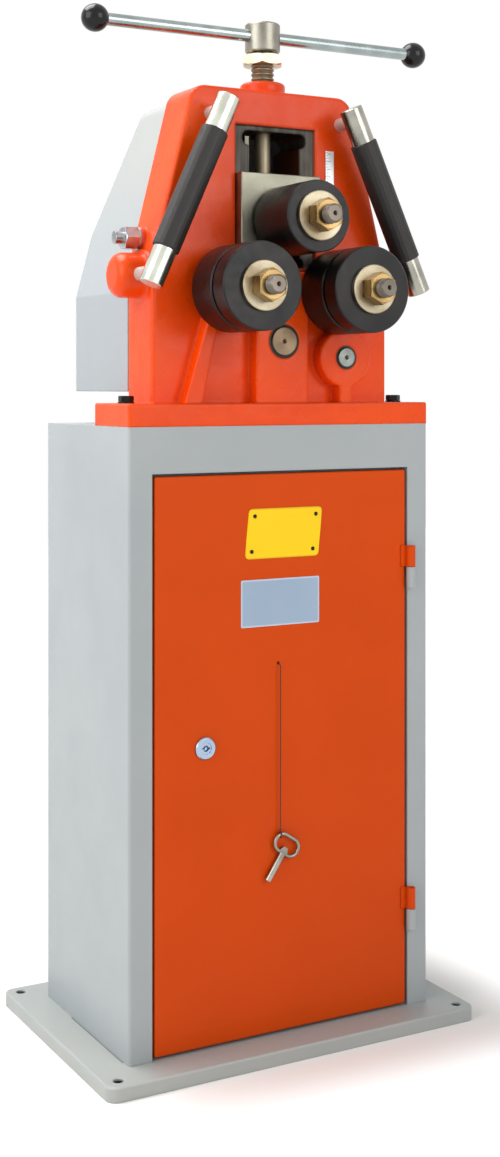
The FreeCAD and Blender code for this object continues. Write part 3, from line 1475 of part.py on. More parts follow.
# ================================================================ spindle
def spindle():
    """Foot held in the slider, plain stem, thread in the boss and plain head in the hub."""
    foot_z = guide_top_z - spindle_foot_height
    foot, stem, head = spindle_foot_radius, spindle_stem_radius, spindle_head_radius
    thread_start = slot_top_z + spindle_thread_gap - foot_z
    thread_end = hub_bottom_z - 1 - foot_z
    top = hub_top_z - hub_cap - foot_z
    profile = [(0, 0), (foot - 1, 0), (foot, 1), (foot, spindle_foot_height - face_gap),
               (stem, spindle_foot_height - face_gap), (stem, thread_start)]
    profile += thread_profile(spindle_radius, spindle_thread_depth, spindle_pitch, thread_start,
                              thread_end)
    profile += [(head, thread_end), (head, top), (0, top)]
    body = turned(profile, V(0, spindle_y, foot_z), Z_AXIS)
    return body.cut(bar_hole())


def bar_hole():
    """Cross hole for the T-bar, through the hub and the spindle's head."""
    reach = X_AXIS * (hub_radius + 1)
    middle = V(0, spindle_y, bar_z)
    return rod(bar_radius + seat_gap, middle - reach, middle + reach)


def spindle_lock_nut():
    nut = chamfered_hexagon(spindle_nut_flats, V(0, spindle_y, lock_nut_bottom_z), Z_AXIS,
                            spindle_nut_height)
    nut.rotate(V(0, spindle_y, 0), Z_AXIS, spindle_nut_turn)
    return nut.cut(Part.makeCylinder(spindle_radius + seat_gap, spindle_nut_height + 2,
                                     V(0, spindle_y, lock_nut_bottom_z - 1)))


def tbar_hub():
    e = hub_edge
    profile = [(0, 0), (hub_radius - e, 0), (hub_radius, e), (hub_radius, hub_height - e),
               (hub_radius - e, hub_height), (0, hub_height)]
    hub = turned(profile, V(0, spindle_y, hub_bottom_z), Z_AXIS)
    depth = hub_height - hub_cap + face_gap
    bore = Part.makeCylinder(spindle_head_radius + seat_gap, depth + 1,
                             V(0, spindle_y, hub_bottom_z - 1))
    return hub.cut(bore).cut(bar_hole())


def bar_end_x():
    return bar_half_length - knob_radius + knob_hole_depth


def tbar_rod():
    return rod(bar_radius, V(-bar_end_x(), spindle_y, bar_z), V(bar_end_x(), spindle_y, bar_z))


def tbar_knobs():
    knobs = []
    for side in (-1, 1):
        centre = V(side * bar_half_length, spindle_y, bar_z)
        ball = Part.makeSphere(knob_radius)
        ball.Placement = FreeCAD.Placement(centre, FreeCAD.Rotation(Z_AXIS, V(side, 0, 0)))
        end = V(side * bar_end_x(), spindle_y, bar_z)
        hole = rod(bar_radius + seat_gap, end - X_AXIS * (side * 2 * knob_hole_depth), end)
        knobs.append(ball.cut(hole))
    return group(knobs)


# ================================================================ handles
def handle_tube(side):
    """Tube with plugged ends, drilled for its two studs."""
    top, bottom = handle_points(side)
    along = (bottom - top).normalize()
    tube = rod(handle_tube_radius, top, bottom)
    bore = rod(handle_tube_radius - handle_tube_wall, top + along * handle_plug_depth,
               bottom - along * handle_plug_depth)
    rims = [e for e in tube.Edges if e.Closed]
    tube = tube.makeChamfer(1.0, rims).cut(bore)
    for point in stud_points(side):
        tube = tube.cut(rod_y(stud_screw_radius + seat_gap, point.x, point.z, point.y,
                              point.y + 2 * handle_tube_radius))
    return tube


def handle_grip(side):
    top, bottom = handle_points(side)
    along = (bottom - top).normalize()
    start, end = top + along * grip_margin, bottom - along * grip_margin
    outer = rod(handle_tube_radius + grip_wall, start, end)
    outer = outer.makeChamfer(grip_edge, [e for e in outer.Edges if e.Closed])
    return outer.cut(rod(handle_tube_radius + seat_gap, start - along, end + along))


def handle_studs():
    """Shouldered studs: a collar between casting and tube, a screw into each."""
    studs = []
    for side in (-1, 1):
        tube = rod(handle_tube_radius, *handle_points(side))
        for point in stud_points(side):
            seat = stud_seat_y(point)
            if seat > head_front_y:
                collar = rod_y(stud_radius, point.x, point.z, point.y, seat + stud_radius)
                collar = collar.cut(side_ear(side))
            else:
                collar = rod_y(stud_radius, point.x, point.z, point.y, seat)
            screw = rod_y(stud_screw_radius, point.x, point.z, point.y + stud_screw_start,
                          seat + stud_screw_depth)
            studs.append(collar.cut(tube).fuse(screw))
    return group(studs)


# ================================================================ scale and cover
def position_scale():
    half = scale_width / 2
    return box(scale_x - half, scale_x + half, head_front_y - scale_thickness, head_front_y,
               scale_bottom_z, scale_top_z)


def cover_side_view(inset):
    """Prism of the cover's side view: upright back, leaning back and flat top."""
    reach = head_half_width + 10
    back_y, top_y = cabinet_rear_y - inset, head_rear_y + cover_top_depth - inset
    low, top = cover_bottom_z - 2, cover_top_z - inset
    outline = [(head_rear_y - 1, low), (back_y, low), (back_y, cover_slope_z), (top_y, top),
               (head_rear_y - 1, top)]
    face = polygon_face([V(head_centre_x - reach, y, z) for y, z in outline])
    prism = face.extrude(V(2 * reach, 0, 0))
    for y, z, radius in ((back_y, cover_slope_z, cover_knee_radius), (top_y, top, cover_corner_radius)):
        edges = [e for e in prism.Edges if e.BoundBox.XLength > reach
                 and abs(e.BoundBox.YMin - y) + abs(e.BoundBox.ZMin - z) < 1e-6]
        prism = prism.makeFillet(radius - inset, edges)
    return prism


def cover_solid(inset):
    """Outer form of the cover, or its inner form when inset by the sheet."""
    half = head_half_width - inset
    top_half = cover_top_half_width - inset
    low, top = cover_bottom_z - (1 if inset else 0), cover_top_z - inset
    right = [(half, low), (half, cover_shoulder_z), (top_half, top)]
    left = [(-x, z) for x, z in reversed(right)]
    front = polygon_face([V(head_centre_x + x, head_rear_y, z) for x, z in right + left])
    depth = cabinet_rear_y - inset - head_rear_y
    body = front.extrude(V(0, depth, 0))
    corners = [e for e in body.Edges
               if e.BoundBox.YLength > depth - 1e-6 and e.BoundBox.ZMin > top - 1e-6]
    body = body.makeFillet(cover_corner_radius - inset, corners)
    return body.common(cover_side_view(inset))


def cover_screw_places():
    """Screws through the cover's front lip into the head's rear face."""
    lean = (head_half_width - cover_top_half_width) / (cover_top_z - cover_shoulder_z)
    low, high = cover_bottom_z + cover_screw_low, cover_top_z - cover_screw_high
    places = []
    for side in (-1, 1):
        for row in range(cover_screw_rows):
            z = low + (high - low) * row / (cover_screw_rows - 1)
            half = head_half_width - lean * max(0.0, z - cover_shoulder_z)
            x = head_centre_x + side * (half - cover_sheet - cover_lip_width / 2)
            places.append(V(x, 0, z))
    return places


def rear_cover():
    outer = cover_solid(0)
    reach = head_half_width + 1
    lip = outer.common(box(head_centre_x - reach, head_centre_x + reach, head_rear_y,
                           head_rear_y + cover_sheet, cover_bottom_z, cover_top_z))
    cover = outer.cut(cover_solid(cover_sheet))
    cover = cover.fuse(lip.cut(cover_solid(cover_sheet + cover_lip_width)))
    cover = cover.cut(rod_y(input_shaft_radius + cover_hole_gap, input_shaft_x, input_shaft_z,
                            cabinet_rear_y - 2 * cover_sheet, cabinet_rear_y + 1))
    for place in cover_screw_places():
        cover = cover.cut(rod_y(cover_screw_radius + seat_gap, place.x, place.z, head_rear_y - 1,
                                head_rear_y + cover_sheet + 1))
    return cover.removeSplitter()


def cover_screws():
    face = head_rear_y + cover_sheet
    start = head_rear_y - cover_screw_depth + 1
    radius, height = cover_screw_head_radius, cover_screw_head_height
    profile = [(0, 0), (radius, 0), (cover_screw_crown_radius, height), (0, height)]
    screws = []
    for place in cover_screw_places():
        shank = rod_y(cover_screw_radius, place.x, place.z, start, face + 0.5)
        screws.append(shank.fuse(turned(profile, V(place.x, face, place.z), Y_AXIS)))
    return group(screws)


# ================================================================ build
def build():
    save("base_tray", base_tray())
    save("cabinet_shell", cabinet_shell())
    save("door_panel", door_panel())
    hinges = (upper_hinge_z, lower_hinge_z)
    save("door_hinges", group([hinge_half(z, True) for z in hinges]))
    save("frame_hinges", group([hinge_half(z, False) for z in hinges]))
    save("hinge_pins", group([hinge_pin(z) for z in hinges]))
    save("lock_body", lock_body())
    save("lock_nut", lock_nut())
    save("lock_barrel", lock_barrel())
    save("lock_cam", lock_cam())
    save("name_plate", name_plate())
    save("plate_rivets", plate_rivets())
    save("label_plate", label_plate())
    save("key_string", key_string())
    save("string_knots", string_knots())
    save("cabinet_key", cabinet_key())
    save("head_casting", head_casting())
    save("head_bolts", head_bolts())
    save("shaft_bushes", shaft_bushes())
    save("spindle_bush", spindle_bush())
    save("rear_cover", rear_cover())
    save("cover_screws", cover_screws())
    save("outboard_bearing", outboard_bearing())
    save("position_scale", position_scale())
    save("gib_strip", gib_strip())
    save("gib_adjuster", gib_adjuster())
    save("handle_tubes", group([handle_tube(side) for side in (-1, 1)]))
    save("handle_grips", group([handle_grip(side) for side in (-1, 1)]))
    save("handle_studs", handle_studs())
    save("slider_block", slider_block())
    save("slider_keeper", slider_keeper())
    save("keeper_screws", keeper_screws())
    save("top_roll_bushes", top_roll_bushes())
    save("spindle_retainer", spindle_retainer())
    save("spindle", spindle())
    save("spindle_lock_nut", spindle_lock_nut())
    save("tbar_hub", tbar_hub())
    save("tbar_rod", tbar_rod())
    save("tbar_knobs", tbar_knobs())
    save("top_shaft", top_shaft())
    save("top_roller", ring(0, top_roll_z, top_roll_radius, roll_front_y, roll_rear_y))
    save("top_roller_washer", roll_washer(0, top_roll_z))
    save("top_roller_nut", roll_nut(0, top_roll_z))
    for side, word in ((-1, "left"), (1, "right")):
        save(word + "_shaft", lower_shaft(side))
        save(word + "_roller_front", front_ring(side))
        save(word + "_roller_rear", rear_ring(side))
        save(word + "_roller_washer", roll_washer(side * lower_roll_x, lower_roll_z))
        save(word + "_roller_nut", roll_nut(side * lower_roll_x, lower_roll_z))
        save(word + "_roll_gear", roll_gear(side))
    save("mid_shaft", mid_shaft())
    save("mid_wheel", mid_wheel())
    save("input_shaft", input_shaft())
    save("crank_arm", crank_arm())
    save("crank_grip", crank_grip())


build()
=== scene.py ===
import math

import bmesh
import bpy
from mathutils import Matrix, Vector


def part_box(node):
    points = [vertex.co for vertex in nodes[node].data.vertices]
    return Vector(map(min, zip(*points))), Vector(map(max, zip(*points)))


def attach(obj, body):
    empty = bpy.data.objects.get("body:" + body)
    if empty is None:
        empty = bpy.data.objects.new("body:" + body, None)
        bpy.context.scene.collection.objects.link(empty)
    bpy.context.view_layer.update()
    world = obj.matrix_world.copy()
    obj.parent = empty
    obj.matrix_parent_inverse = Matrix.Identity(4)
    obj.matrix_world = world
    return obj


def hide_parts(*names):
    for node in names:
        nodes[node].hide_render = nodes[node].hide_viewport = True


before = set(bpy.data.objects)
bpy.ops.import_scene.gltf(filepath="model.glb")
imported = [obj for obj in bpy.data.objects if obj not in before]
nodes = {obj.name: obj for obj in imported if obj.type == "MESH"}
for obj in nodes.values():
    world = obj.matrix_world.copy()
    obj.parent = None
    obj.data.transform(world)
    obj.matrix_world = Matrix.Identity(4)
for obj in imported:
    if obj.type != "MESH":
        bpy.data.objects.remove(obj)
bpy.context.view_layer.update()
print("frame loaded with", len(nodes), "nodes")

cameraView = {
    "place": (-1.03905, -1.91922, 0.84627),   # metres
    "turn": 28.92,                            # degrees, from straight ahead to the right
    "lens": 50.23,                            # millimetres, as the sensor is
    "sensor": 36.0,
    "shiftDown": 0.1671,                      # of the frame's height
}


def makeCamera(view):
    lens = bpy.data.cameras.new("camera")
    lens.lens = view["lens"]
    lens.sensor_width = view["sensor"]
    lens.shift_y = -view["shiftDown"]
    holder = bpy.data.objects.new("camera", lens)
    holder.location = view["place"]
    holder.rotation_euler = (math.pi / 2, 0, -math.radians(view["turn"]))
    bpy.context.scene.collection.objects.link(holder)
    bpy.context.scene.camera = holder


makeCamera(cameraView)
bpy.context.scene.view_settings.view_transform = "Standard"
print("camera in place")


# one shader socket, so that maths on it reads as maths
class Signal:
    def __init__(self, graph, socket):
        self.graph = graph
        self.socket = socket

    def __add__(self, other):
        return self.graph.maths("ADD", self, other)

    def __sub__(self, other):
        return self.graph.maths("SUBTRACT", self, other)

    def __rsub__(self, other):
        return self.graph.maths("SUBTRACT", other, self)

    def __mul__(self, other):
        return self.graph.maths("MULTIPLY", self, other)

    def __truediv__(self, other):
        return self.graph.maths("DIVIDE", self, other)

    def __rtruediv__(self, other):
        return self.graph.maths("DIVIDE", other, self)

    __radd__ = __add__
    __rmul__ = __mul__


def paint(red, green, blue):
    # a screen colour, 0 to 255, to the linear one that shaders use, by the sRGB curve
    def linear(level):
        level /= 255
        return level / 12.92 if level <= 0.04045 else ((level + 0.055) / 1.055) ** 2.4
    return (linear(red), linear(green), linear(blue), 1.0)


class Graph:
    # a material's nodes; constants go straight to the shader's own sockets
    def __init__(self, name, **constants):
        self.material = bpy.data.materials.new(name)
        self.material.use_nodes = True
        self.tree = self.material.node_tree
        self.shader = self.tree.nodes["Principled BSDF"]
        for socket, value in constants.items():
            self.shader.inputs[socket.replace("_", " ")].default_value = value
        self.place = self.node("TexCoord", out="Object")

    def node(self, kind, settings=None, inputs=None, out=0):
        made = self.tree.nodes.new("ShaderNode" + kind)
        for key, value in (settings or {}).items():
            setattr(made, key, value)
        for key, value in (inputs or {}).items():
            self.feed(made.inputs[key], value)
        return Signal(self, made.outputs[out])

    def feed(self, socket, value):
        if isinstance(value, Signal):
            self.tree.links.new(value.socket, socket)
        else:
            socket.default_value = value

    def maths(self, operation, *values):
        return self.node("Math", {"operation": operation}, dict(enumerate(values)))

    def vector(self, operation, first, second, out="Vector"):
        return self.node("VectorMath", {"operation": operation}, {0: first, 1: second}, out)

    def along(self, direction):
        # distance along a direction, times the direction's own length
        return self.vector("DOT_PRODUCT", self.place, direction, "Value")

    def noise(self, scale, detail=2.0, stretch=(1, 1, 1)):
        # stretch: how much finer the noise is along each axis
        spot = self.vector("MULTIPLY", self.place, stretch)
        return self.node("TexNoise", {}, {"Vector": spot, "Scale": scale, "Detail": detail})

    def between(self, value, low, high, start=0.0, end=1.0):
        # value's place from low to high, smoothed, as a number from start to end
        inputs = {"Value": value, "From Min": low, "From Max": high, "To Min": start, "To Max": end}
        return self.node("MapRange", {"interpolation_type": "SMOOTHSTEP"}, inputs)

    def patches(self, scale, detail=2.0, start=0.0, end=1.0):
        # soft patches, from start to end; nearly all noise lies between low and high
        low, high = 0.3, 0.7
        return self.between(self.noise(scale, detail), low, high, start, end)

    def mix(self, factor, first, second):
        # sockets of the Mix node in its colour mode: factor, first and second colour
        return self.node("Mix", {"data_type": "RGBA"}, {0: factor, 6: first, 7: second}, out=2)

    def shades(self, factor, first, second):
        # from one screen colour to another
        return self.mix(factor, paint(*first), paint(*second))

    def axis(self, index):
        return self.node("SeparateXYZ", {}, {0: self.place}, out=index)

    def size(self, signal):
        return self.maths("ABSOLUTE", signal)

    def least(self, *signals):
        least = signals[0]
        for signal in signals[1:]:
            least = self.maths("MINIMUM", least, signal)
        return least

    def most(self, first, second):
        return self.maths("MAXIMUM", first, second)

    def waves(self, signal):
        # a sine of the signal, from 0 to 1
        return self.maths("SINE", signal) * 0.5 + 0.5

    def depthIn(self, low, high):
        # how deep a place lies in a box, in metres, below zero outside it; None leaves a side open
        parts = []
        for index in range(3):
            if low[index] is not None:
                parts.append(self.axis(index) - low[index])
            if high[index] is not None:
                parts.append(high[index] - self.axis(index))
        return self.least(*parts)

    def radiusFrom(self, centre):
        # distance from a line that runs from front to back, through centre across and upright
        across, upright = self.axis(0) - centre[0], self.axis(2) - centre[1]
        return self.maths("SQRT", across * across + upright * upright)

    def use(self, **signals):
        for socket, value in signals.items():
            self.feed(self.shader.inputs[socket.replace("_", " ")], value)

    def relief(self, height, depth, under=None):
        # height from 0 to 1, depth in metres
        inputs = {"Height": height, "Distance": depth}
        if under is not None:
            inputs["Normal"] = under
        return self.node("Bump", {}, inputs)

    def softEdge(self, radius):
        return self.node("Bevel", {"samples": 6}, {"Radius": radius})


stringLine = {
    # the door's hole, the turn in front of it, and the straight drop to the key
    "points": [(-0.0105, -0.1280, 0.4916), (-0.0105, -0.1378, 0.4916),
               (-0.0105, -0.1378, 0.4826), (-0.0105, -0.1378, 0.2776)],
    "diameter": 0.0015,
    "length": 0.2228,
    "order": 3,
    "bevelSteps": 3,
    "runSteps": 16,
}
stringYarn = {
    "colour": (110, 62, 44), "shade": (58, 24, 14), "rough": 0.85, "depth": 0.0003,
    "twist": (900.0, 900.0, 1500.0),          # radians per metre along each axis
}


def stringFinish(spec):
    g = Graph("twistedString", Roughness=spec["rough"])
    strand = g.waves(g.along(spec["twist"]))
    g.use(Base_Color=g.shades(strand, spec["shade"], spec["colour"]))
    g.use(Normal=g.relief(strand, spec["depth"]))
    return g.material


def makeString(spec):
    curve = bpy.data.curves.new("string", "CURVE")
    curve.dimensions = "3D"
    curve.bevel_depth = spec["diameter"] / 2
    curve.bevel_resolution = spec["bevelSteps"]
    curve.use_fill_caps = True
    curve.resolution_u = spec["runSteps"]
    line = curve.splines.new("NURBS")
    line.points.add(len(spec["points"]) - 1)
    for point, place in zip(line.points, spec["points"]):
        point.co = (*place, 1.0)
    line.order_u = spec["order"]
    line.use_endpoint_u = True
    piece = bpy.data.objects.new("string", curve)
    bpy.context.scene.collection.objects.link(piece)
    curve.materials.append(stringFinish(stringYarn))
    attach(piece, "key_pendulum")
    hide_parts("key_string")


makeString(stringLine)
print("string hung")

# in the finishes below colours run from 0 to 255, and lengths are in metres
maskEdge = 0.0004          # over which a mask goes from 0 to 1
machinedEdge = 0.0006      # radius of the edges of metal parts


def coat(material, *names):
    # the finish of CAD nodes
    for name in names:
        slots = nodes[name].data.materials
        if len(slots) == 0:
            slots.append(material)
        for index in range(len(slots)):
            slots[index] = material


# smooth enamel over cast iron, the bare machined seat of the slide, and painted shade inside the hole
# through it
castPaint = {
    "colour": (236, 76, 0), "shade": (222, 64, 0), "shine": 0.26,
    "rough": 0.24, "roughMost": 0.34, "corner": 0.005, "wave": 0.0012,
    "bare": (82, 78, 70), "bareShade": (58, 55, 50), "bareRougher": 0.12, "bareMetal": 0.5,
    "seatLow": (-0.0592, -0.1078, 0.9986), "seatHigh": (0.0592, None, 1.1804),
    "holeShade": (20, 18, 16), "holeShadeRight": (78, 34, 16), "rightFrom": 0.018, "rightTo": 0.032,
    "holeLow": (-0.048, -0.1030, 0.998), "holeHigh": (0.048, None, 1.176), "holeFade": 0.004,
}


def castEnamel(spec):
    g = Graph("castEnamel", Specular_IOR_Level=spec["shine"])
    seat = g.between(g.depthIn(spec["seatLow"], spec["seatHigh"]), 0.0, maskEdge)
    hole = g.between(g.depthIn(spec["holeLow"], spec["holeHigh"]), 0.0, spec["holeFade"])
    clouds = g.between(g.noise(scale=7.0, detail=3.0), 0.35, 0.7)
    enamel = g.shades(clouds, spec["shade"], spec["colour"])
    strokes = g.between(g.noise(scale=160.0, detail=4.0, stretch=(1, 1, 0.06)), 0.35, 0.65)
    machined = g.shades(strokes, spec["bareShade"], spec["bare"])
    # painted shade: the inside of the hole near black and its right wall dark orange, fading in over
    # holeFade
    rightSide = g.between(g.axis(0), spec["rightFrom"], spec["rightTo"])
    paintedHoleShade = g.shades(rightSide, spec["holeShade"], spec["holeShadeRight"])
    rough = g.patches(scale=40.0, start=spec["rough"], end=spec["roughMost"])
    wide, fine = g.noise(scale=22.0, detail=1.0), g.noise(scale=90.0, detail=1.0)
    g.use(Base_Color=g.mix(seat, enamel, g.mix(hole, machined, paintedHoleShade)))
    g.use(Roughness=rough + seat * spec["bareRougher"], Metallic=seat * spec["bareMetal"])
    g.use(Normal=g.relief(wide * 0.8 + fine * 0.2, spec["wave"], g.softEdge(spec["corner"])))
    return g.material


coat(castEnamel(castPaint), "head_casting")

# low and high: the heights at which a sheet piece has its bottom and its top colour; where these differ,
# the lighter top is painted light
greyPaint = {
    "bottom": (160, 166, 168), "top": (165, 171, 173), "shade": (154, 161, 163), "patches": 0.5,
    "low": 0.02, "high": 0.8, "rough": 0.42, "corner": 0.0014,
}
trayPaint = dict(greyPaint, bottom=(164, 167, 163), top=(164, 167, 163), corner=0.0025)
# painted shadow: a dark line on the tray where the foot of the cabinet's left side stands on it
trayContactShadow = {"low": (-0.2222, -0.118, None), "high": (-0.2202, 0.045, None), "strength": 0.75,
            "colour": (54, 58, 62)}
coverPaint = {
    "bottom": (160, 166, 171), "top": (170, 172, 168), "shade": (160, 166, 168), "patches": 0.5,
    "low": 0.95, "high": 1.22, "rough": 0.40, "corner": 0.003,
}
doorPaint = {
    "bottom": (202, 68, 0), "top": (210, 72, 0), "shade": (192, 64, 0), "patches": 0.4,
    "low": 0.02, "high": 0.73, "rough": 0.38, "corner": 0.0022, "shine": 0.14,
}
sheetFinish = {"shine": 0.4, "roughSpread": 0.05, "wave": 0.0015}


def sheetPaint(name, spec, shadowLines=()):
    # satin paint on folded sheet, with faint patches, a top painted lighter than the bottom as painted
    # light, and a painted shadow line for each box in shadowLines
    g = Graph(name, Specular_IOR_Level=spec.get("shine", sheetFinish["shine"]))
    # painted light: lighter towards the top of each piece
    rise = g.between(g.axis(2), spec["low"], spec["high"])
    colour = g.shades(rise, spec["bottom"], spec["top"])
    faint = g.patches(scale=6.0, detail=3.0) * spec["patches"]
    colour = g.mix(faint, colour, paint(*spec["shade"]))
    # painted shadow lines, such as the one where the cabinet stands on the tray
    for shadowLine in shadowLines:
        line = g.between(g.depthIn(shadowLine["low"], shadowLine["high"]), 0.0, maskEdge)
        colour = g.mix(line * shadowLine["strength"], colour, paint(*shadowLine["colour"]))
    rough, spread = spec["rough"], sheetFinish["roughSpread"]
    wide, fine = g.noise(scale=3.5, detail=1.0), g.noise(scale=900.0, detail=1.0)
    height = wide * 0.8 + fine * 0.02
    g.use(Base_Color=colour)
    g.use(Roughness=g.patches(scale=18.0, start=rough - spread, end=rough + spread))
    g.use(Normal=g.relief(height, sheetFinish["wave"], g.softEdge(spec["corner"])))
    return g.material


coat(sheetPaint("greySheet", greyPaint), "cabinet_shell", "frame_hinges")
coat(sheetPaint("traySheet", trayPaint, [trayContactShadow]), "base_tray")
coat(sheetPaint("paleSheet", coverPaint), "rear_cover")
coat(sheetPaint("doorSheet", doorPaint), "door_panel", "door_hinges")

# lines: how much finer the grain is along each axis; depth: how deep it is
metals = {
    "slideSteel": {"nodes": ("slider_block", "slider_keeper", "spindle_retainer"),
                   "colour": (150, 148, 132), "shade": (128, 126, 112), "rough": 0.36,
                   "lines": (12, 12, 1), "depth": 0.00014},
    "stripSteel": {"nodes": ("gib_strip", "hinge_pins"), "colour": (120, 116, 104),
                   "shade": (96, 92, 82), "rough": 0.4, "lines": (1, 1, 12)},
    "shaftSteel": {"nodes": ("top_shaft", "left_shaft", "right_shaft"), "colour": (120, 112, 102),
                   "shade": (92, 86, 78), "rough": 0.34, "lines": (1, 12, 1)},
    "bushSteel": {"nodes": ("shaft_bushes",), "colour": (58, 54, 48), "shade": (40, 37, 33),
                  "rough": 0.42, "metallic": 0.8},
    "gearSteel": {"nodes": ("left_roll_gear", "right_roll_gear", "mid_wheel"),
                  "colour": (125, 125, 125), "shade": (95, 95, 92), "rough": 0.34,
                  "lines": (1, 12, 1)},
    "blackOxide": {"nodes": ("head_bolts", "cover_screws", "keeper_screws", "plate_rivets", "crank_arm"),
                   "colour": (40, 40, 42), "shade": (28, 28, 30), "rough": 0.38, "metallic": 0.8},
    "rollSteel": {"nodes": ("top_roller", "left_roller_front", "left_roller_rear", "right_roller_front",
                            "right_roller_rear"),
                  "colour": (36, 34, 33), "shade": (23, 22, 22), "rough": 0.34, "lines": (1, 10, 1),
                  "metallic": 0.55},
    "yellowZinc": {"nodes": ("top_roller_nut", "left_roller_nut", "right_roller_nut"),
                   "colour": (182, 152, 100), "shade": (138, 110, 70), "rough": 0.30},
    "lockNutZinc": {"nodes": ("spindle_lock_nut",), "colour": (206, 196, 170),
                    "shade": (190, 176, 146), "rough": 0.32, "lines": (1, 1, 12)},
    "paleZinc": {"nodes": ("top_roller_washer", "left_roller_washer", "right_roller_washer"),
                 "colour": (186, 176, 152), "shade": (136, 122, 98), "rough": 0.40,
                 "lines": (10, 1, 1)},
    "mottledZinc": {"nodes": ("gib_adjuster",), "colour": (204, 207, 210), "shade": (140, 144, 148),
                    "rough": 0.32},
    "brightZinc": {"nodes": ("handle_studs", "lock_nut", "lock_cam"), "colour": (226, 226, 222),
                   "shade": (194, 194, 190), "rough": 0.38, "metallic": 0.6},
    "keySteel": {"nodes": ("cabinet_key",), "colour": (170, 168, 160), "shade": (140, 136, 126),
                 "rough": 0.30},
    "barSteel": {"nodes": ("tbar_rod",), "colour": (164, 174, 173), "shade": (144, 154, 152),
                 "rough": 0.22, "lines": (0.4, 8, 8), "depth": 0.00003},
    "hubSteel": {"nodes": ("tbar_hub",), "colour": (158, 154, 143), "shade": (134, 130, 119),
                 "rough": 0.34, "lines": (8, 8, 1)},
    "threadSteel": {"nodes": ("spindle",), "colour": (158, 146, 122), "shade": (122, 110, 90),
                    "rough": 0.46, "metallic": 0.7},
    "lockChrome": {"nodes": ("lock_body", "lock_barrel"), "colour": (170, 186, 206),
                   "shade": (150, 166, 190), "rough": 0.2},
    "turnedBronze": {"nodes": ("spindle_bush", "top_roll_bushes"), "colour": (150, 110, 64),
                     "shade": (130, 92, 52), "rough": 0.34},
    "bearingIron": {"nodes": ("outboard_bearing",), "colour": (70, 72, 74), "shade": (54, 56, 58),
                    "rough": 0.55, "metallic": 0.3},
}
# centre: across and upright; rim: the two radii between which the end darkens
shaftEnds = {
    "midShaftSteel": {"nodes": ("mid_shaft",), "centre": (0.0, 0.9025), "rim": (0.0165, 0.0185),
                      "colour": (150, 130, 104), "shade": (120, 102, 82), "rimColour": (64, 58, 52),
                      "rough": 0.36},
    "inputShaftSteel": {"nodes": ("input_shaft",), "centre": (0.0939, 0.8825), "rim": (0.0112, 0.0128),
                        "colour": (134, 138, 134), "shade": (110, 114, 110), "rimColour": (60, 60, 58),
                        "rough": 0.32},
}
metalFinish = {"lines": (1, 1, 1), "depth": 0.00008, "smoother": 0.06, "rougher": 0.08}
turnedFinish = {
    "marks": 9000.0,                          # radians per metre outwards
    "depth": 0.00004, "smoother": 0.05, "rougher": 0.08,
}


def metal(name, spec):
    # bare or plated metal
    spec = dict(metalFinish, **spec)
    g = Graph(name, Metallic=spec.get("metallic", 1.0))
    least, most = spec["rough"] - spec["smoother"], spec["rough"] + spec["rougher"]
    grain = g.noise(scale=500.0, detail=3.0, stretch=spec["lines"])
    g.use(Base_Color=g.shades(g.patches(scale=30.0, detail=4.0), spec["shade"], spec["colour"]))
    g.use(Roughness=g.patches(scale=60.0, detail=3.0, start=least, end=most))
    g.use(Normal=g.relief(grain, spec["depth"], g.softEdge(machinedEdge)))
    return g.material


def turnedMetal(name, spec):
    # a shaft end with a darker rim and turning marks round its axis
    spec = dict(turnedFinish, **spec)
    g = Graph(name, Metallic=1.0)
    least, most = spec["rough"] - spec["smoother"], spec["rough"] + spec["rougher"]
    away = g.radiusFrom(spec["centre"])
    face = g.shades(g.patches(scale=40.0, detail=4.0), spec["shade"], spec["colour"])
    g.use(Base_Color=g.mix(g.between(away, *spec["rim"]), face, paint(*spec["rimColour"])))
    g.use(Roughness=g.patches(scale=80.0, detail=3.0, start=least, end=most))
    g.use(Normal=g.relief(g.waves(away * spec["marks"]), spec["depth"], g.softEdge(machinedEdge)))
    return g.material


for name, spec in metals.items():
    coat(metal(name, spec), *spec["nodes"])
for name, spec in shaftEnds.items():
    coat(turnedMetal(name, spec), *spec["nodes"])

# painted reflection: the left tube lighter and the right one darker, as each reflects its surroundings;
# the change runs across from turnFrom to turnTo
tubeChrome = {
    "litLeft": (222, 224, 210), "litLeftShade": (206, 208, 192), "turnFrom": -0.08, "turnTo": 0.1,
    "shadedRight": (172, 170, 158), "shadedRightShade": (150, 148, 138), "rough": 0.16, "roughMost": 0.26,
    "lines": (8, 8, 1), "depth": 0.00004, "corner": 0.0008,
}


def tubePlating(spec):
    g = Graph("tubePlating", Metallic=1.0)
    # painted reflection: lighter on the left tube, darker on the right
    turn = g.between(g.axis(0), spec["turnFrom"], spec["turnTo"])
    cloud = g.patches(scale=30.0, detail=3.0)
    litLeft = g.shades(cloud, spec["litLeftShade"], spec["litLeft"])
    shadedRight = g.shades(cloud, spec["shadedRightShade"], spec["shadedRight"])
    rough = g.patches(scale=60.0, detail=3.0, start=spec["rough"], end=spec["roughMost"])
    grain = g.noise(scale=400.0, detail=2.0, stretch=spec["lines"])
    g.use(Base_Color=g.mix(turn, litLeft, shadedRight), Roughness=rough)
    g.use(Normal=g.relief(grain, spec["depth"], g.softEdge(spec["corner"])))
    return g.material


gripRibs = {
    "colour": (40, 37, 35), "shade": (24, 22, 21), "rough": 0.5, "shine": 0.4, "grainDepth": 0.0003,
    "across": 0.9096, "upright": 0.4154,      # unit direction square to the right grip's ribs
    "pitch": 0.0042, "depth": 0.00015,
}


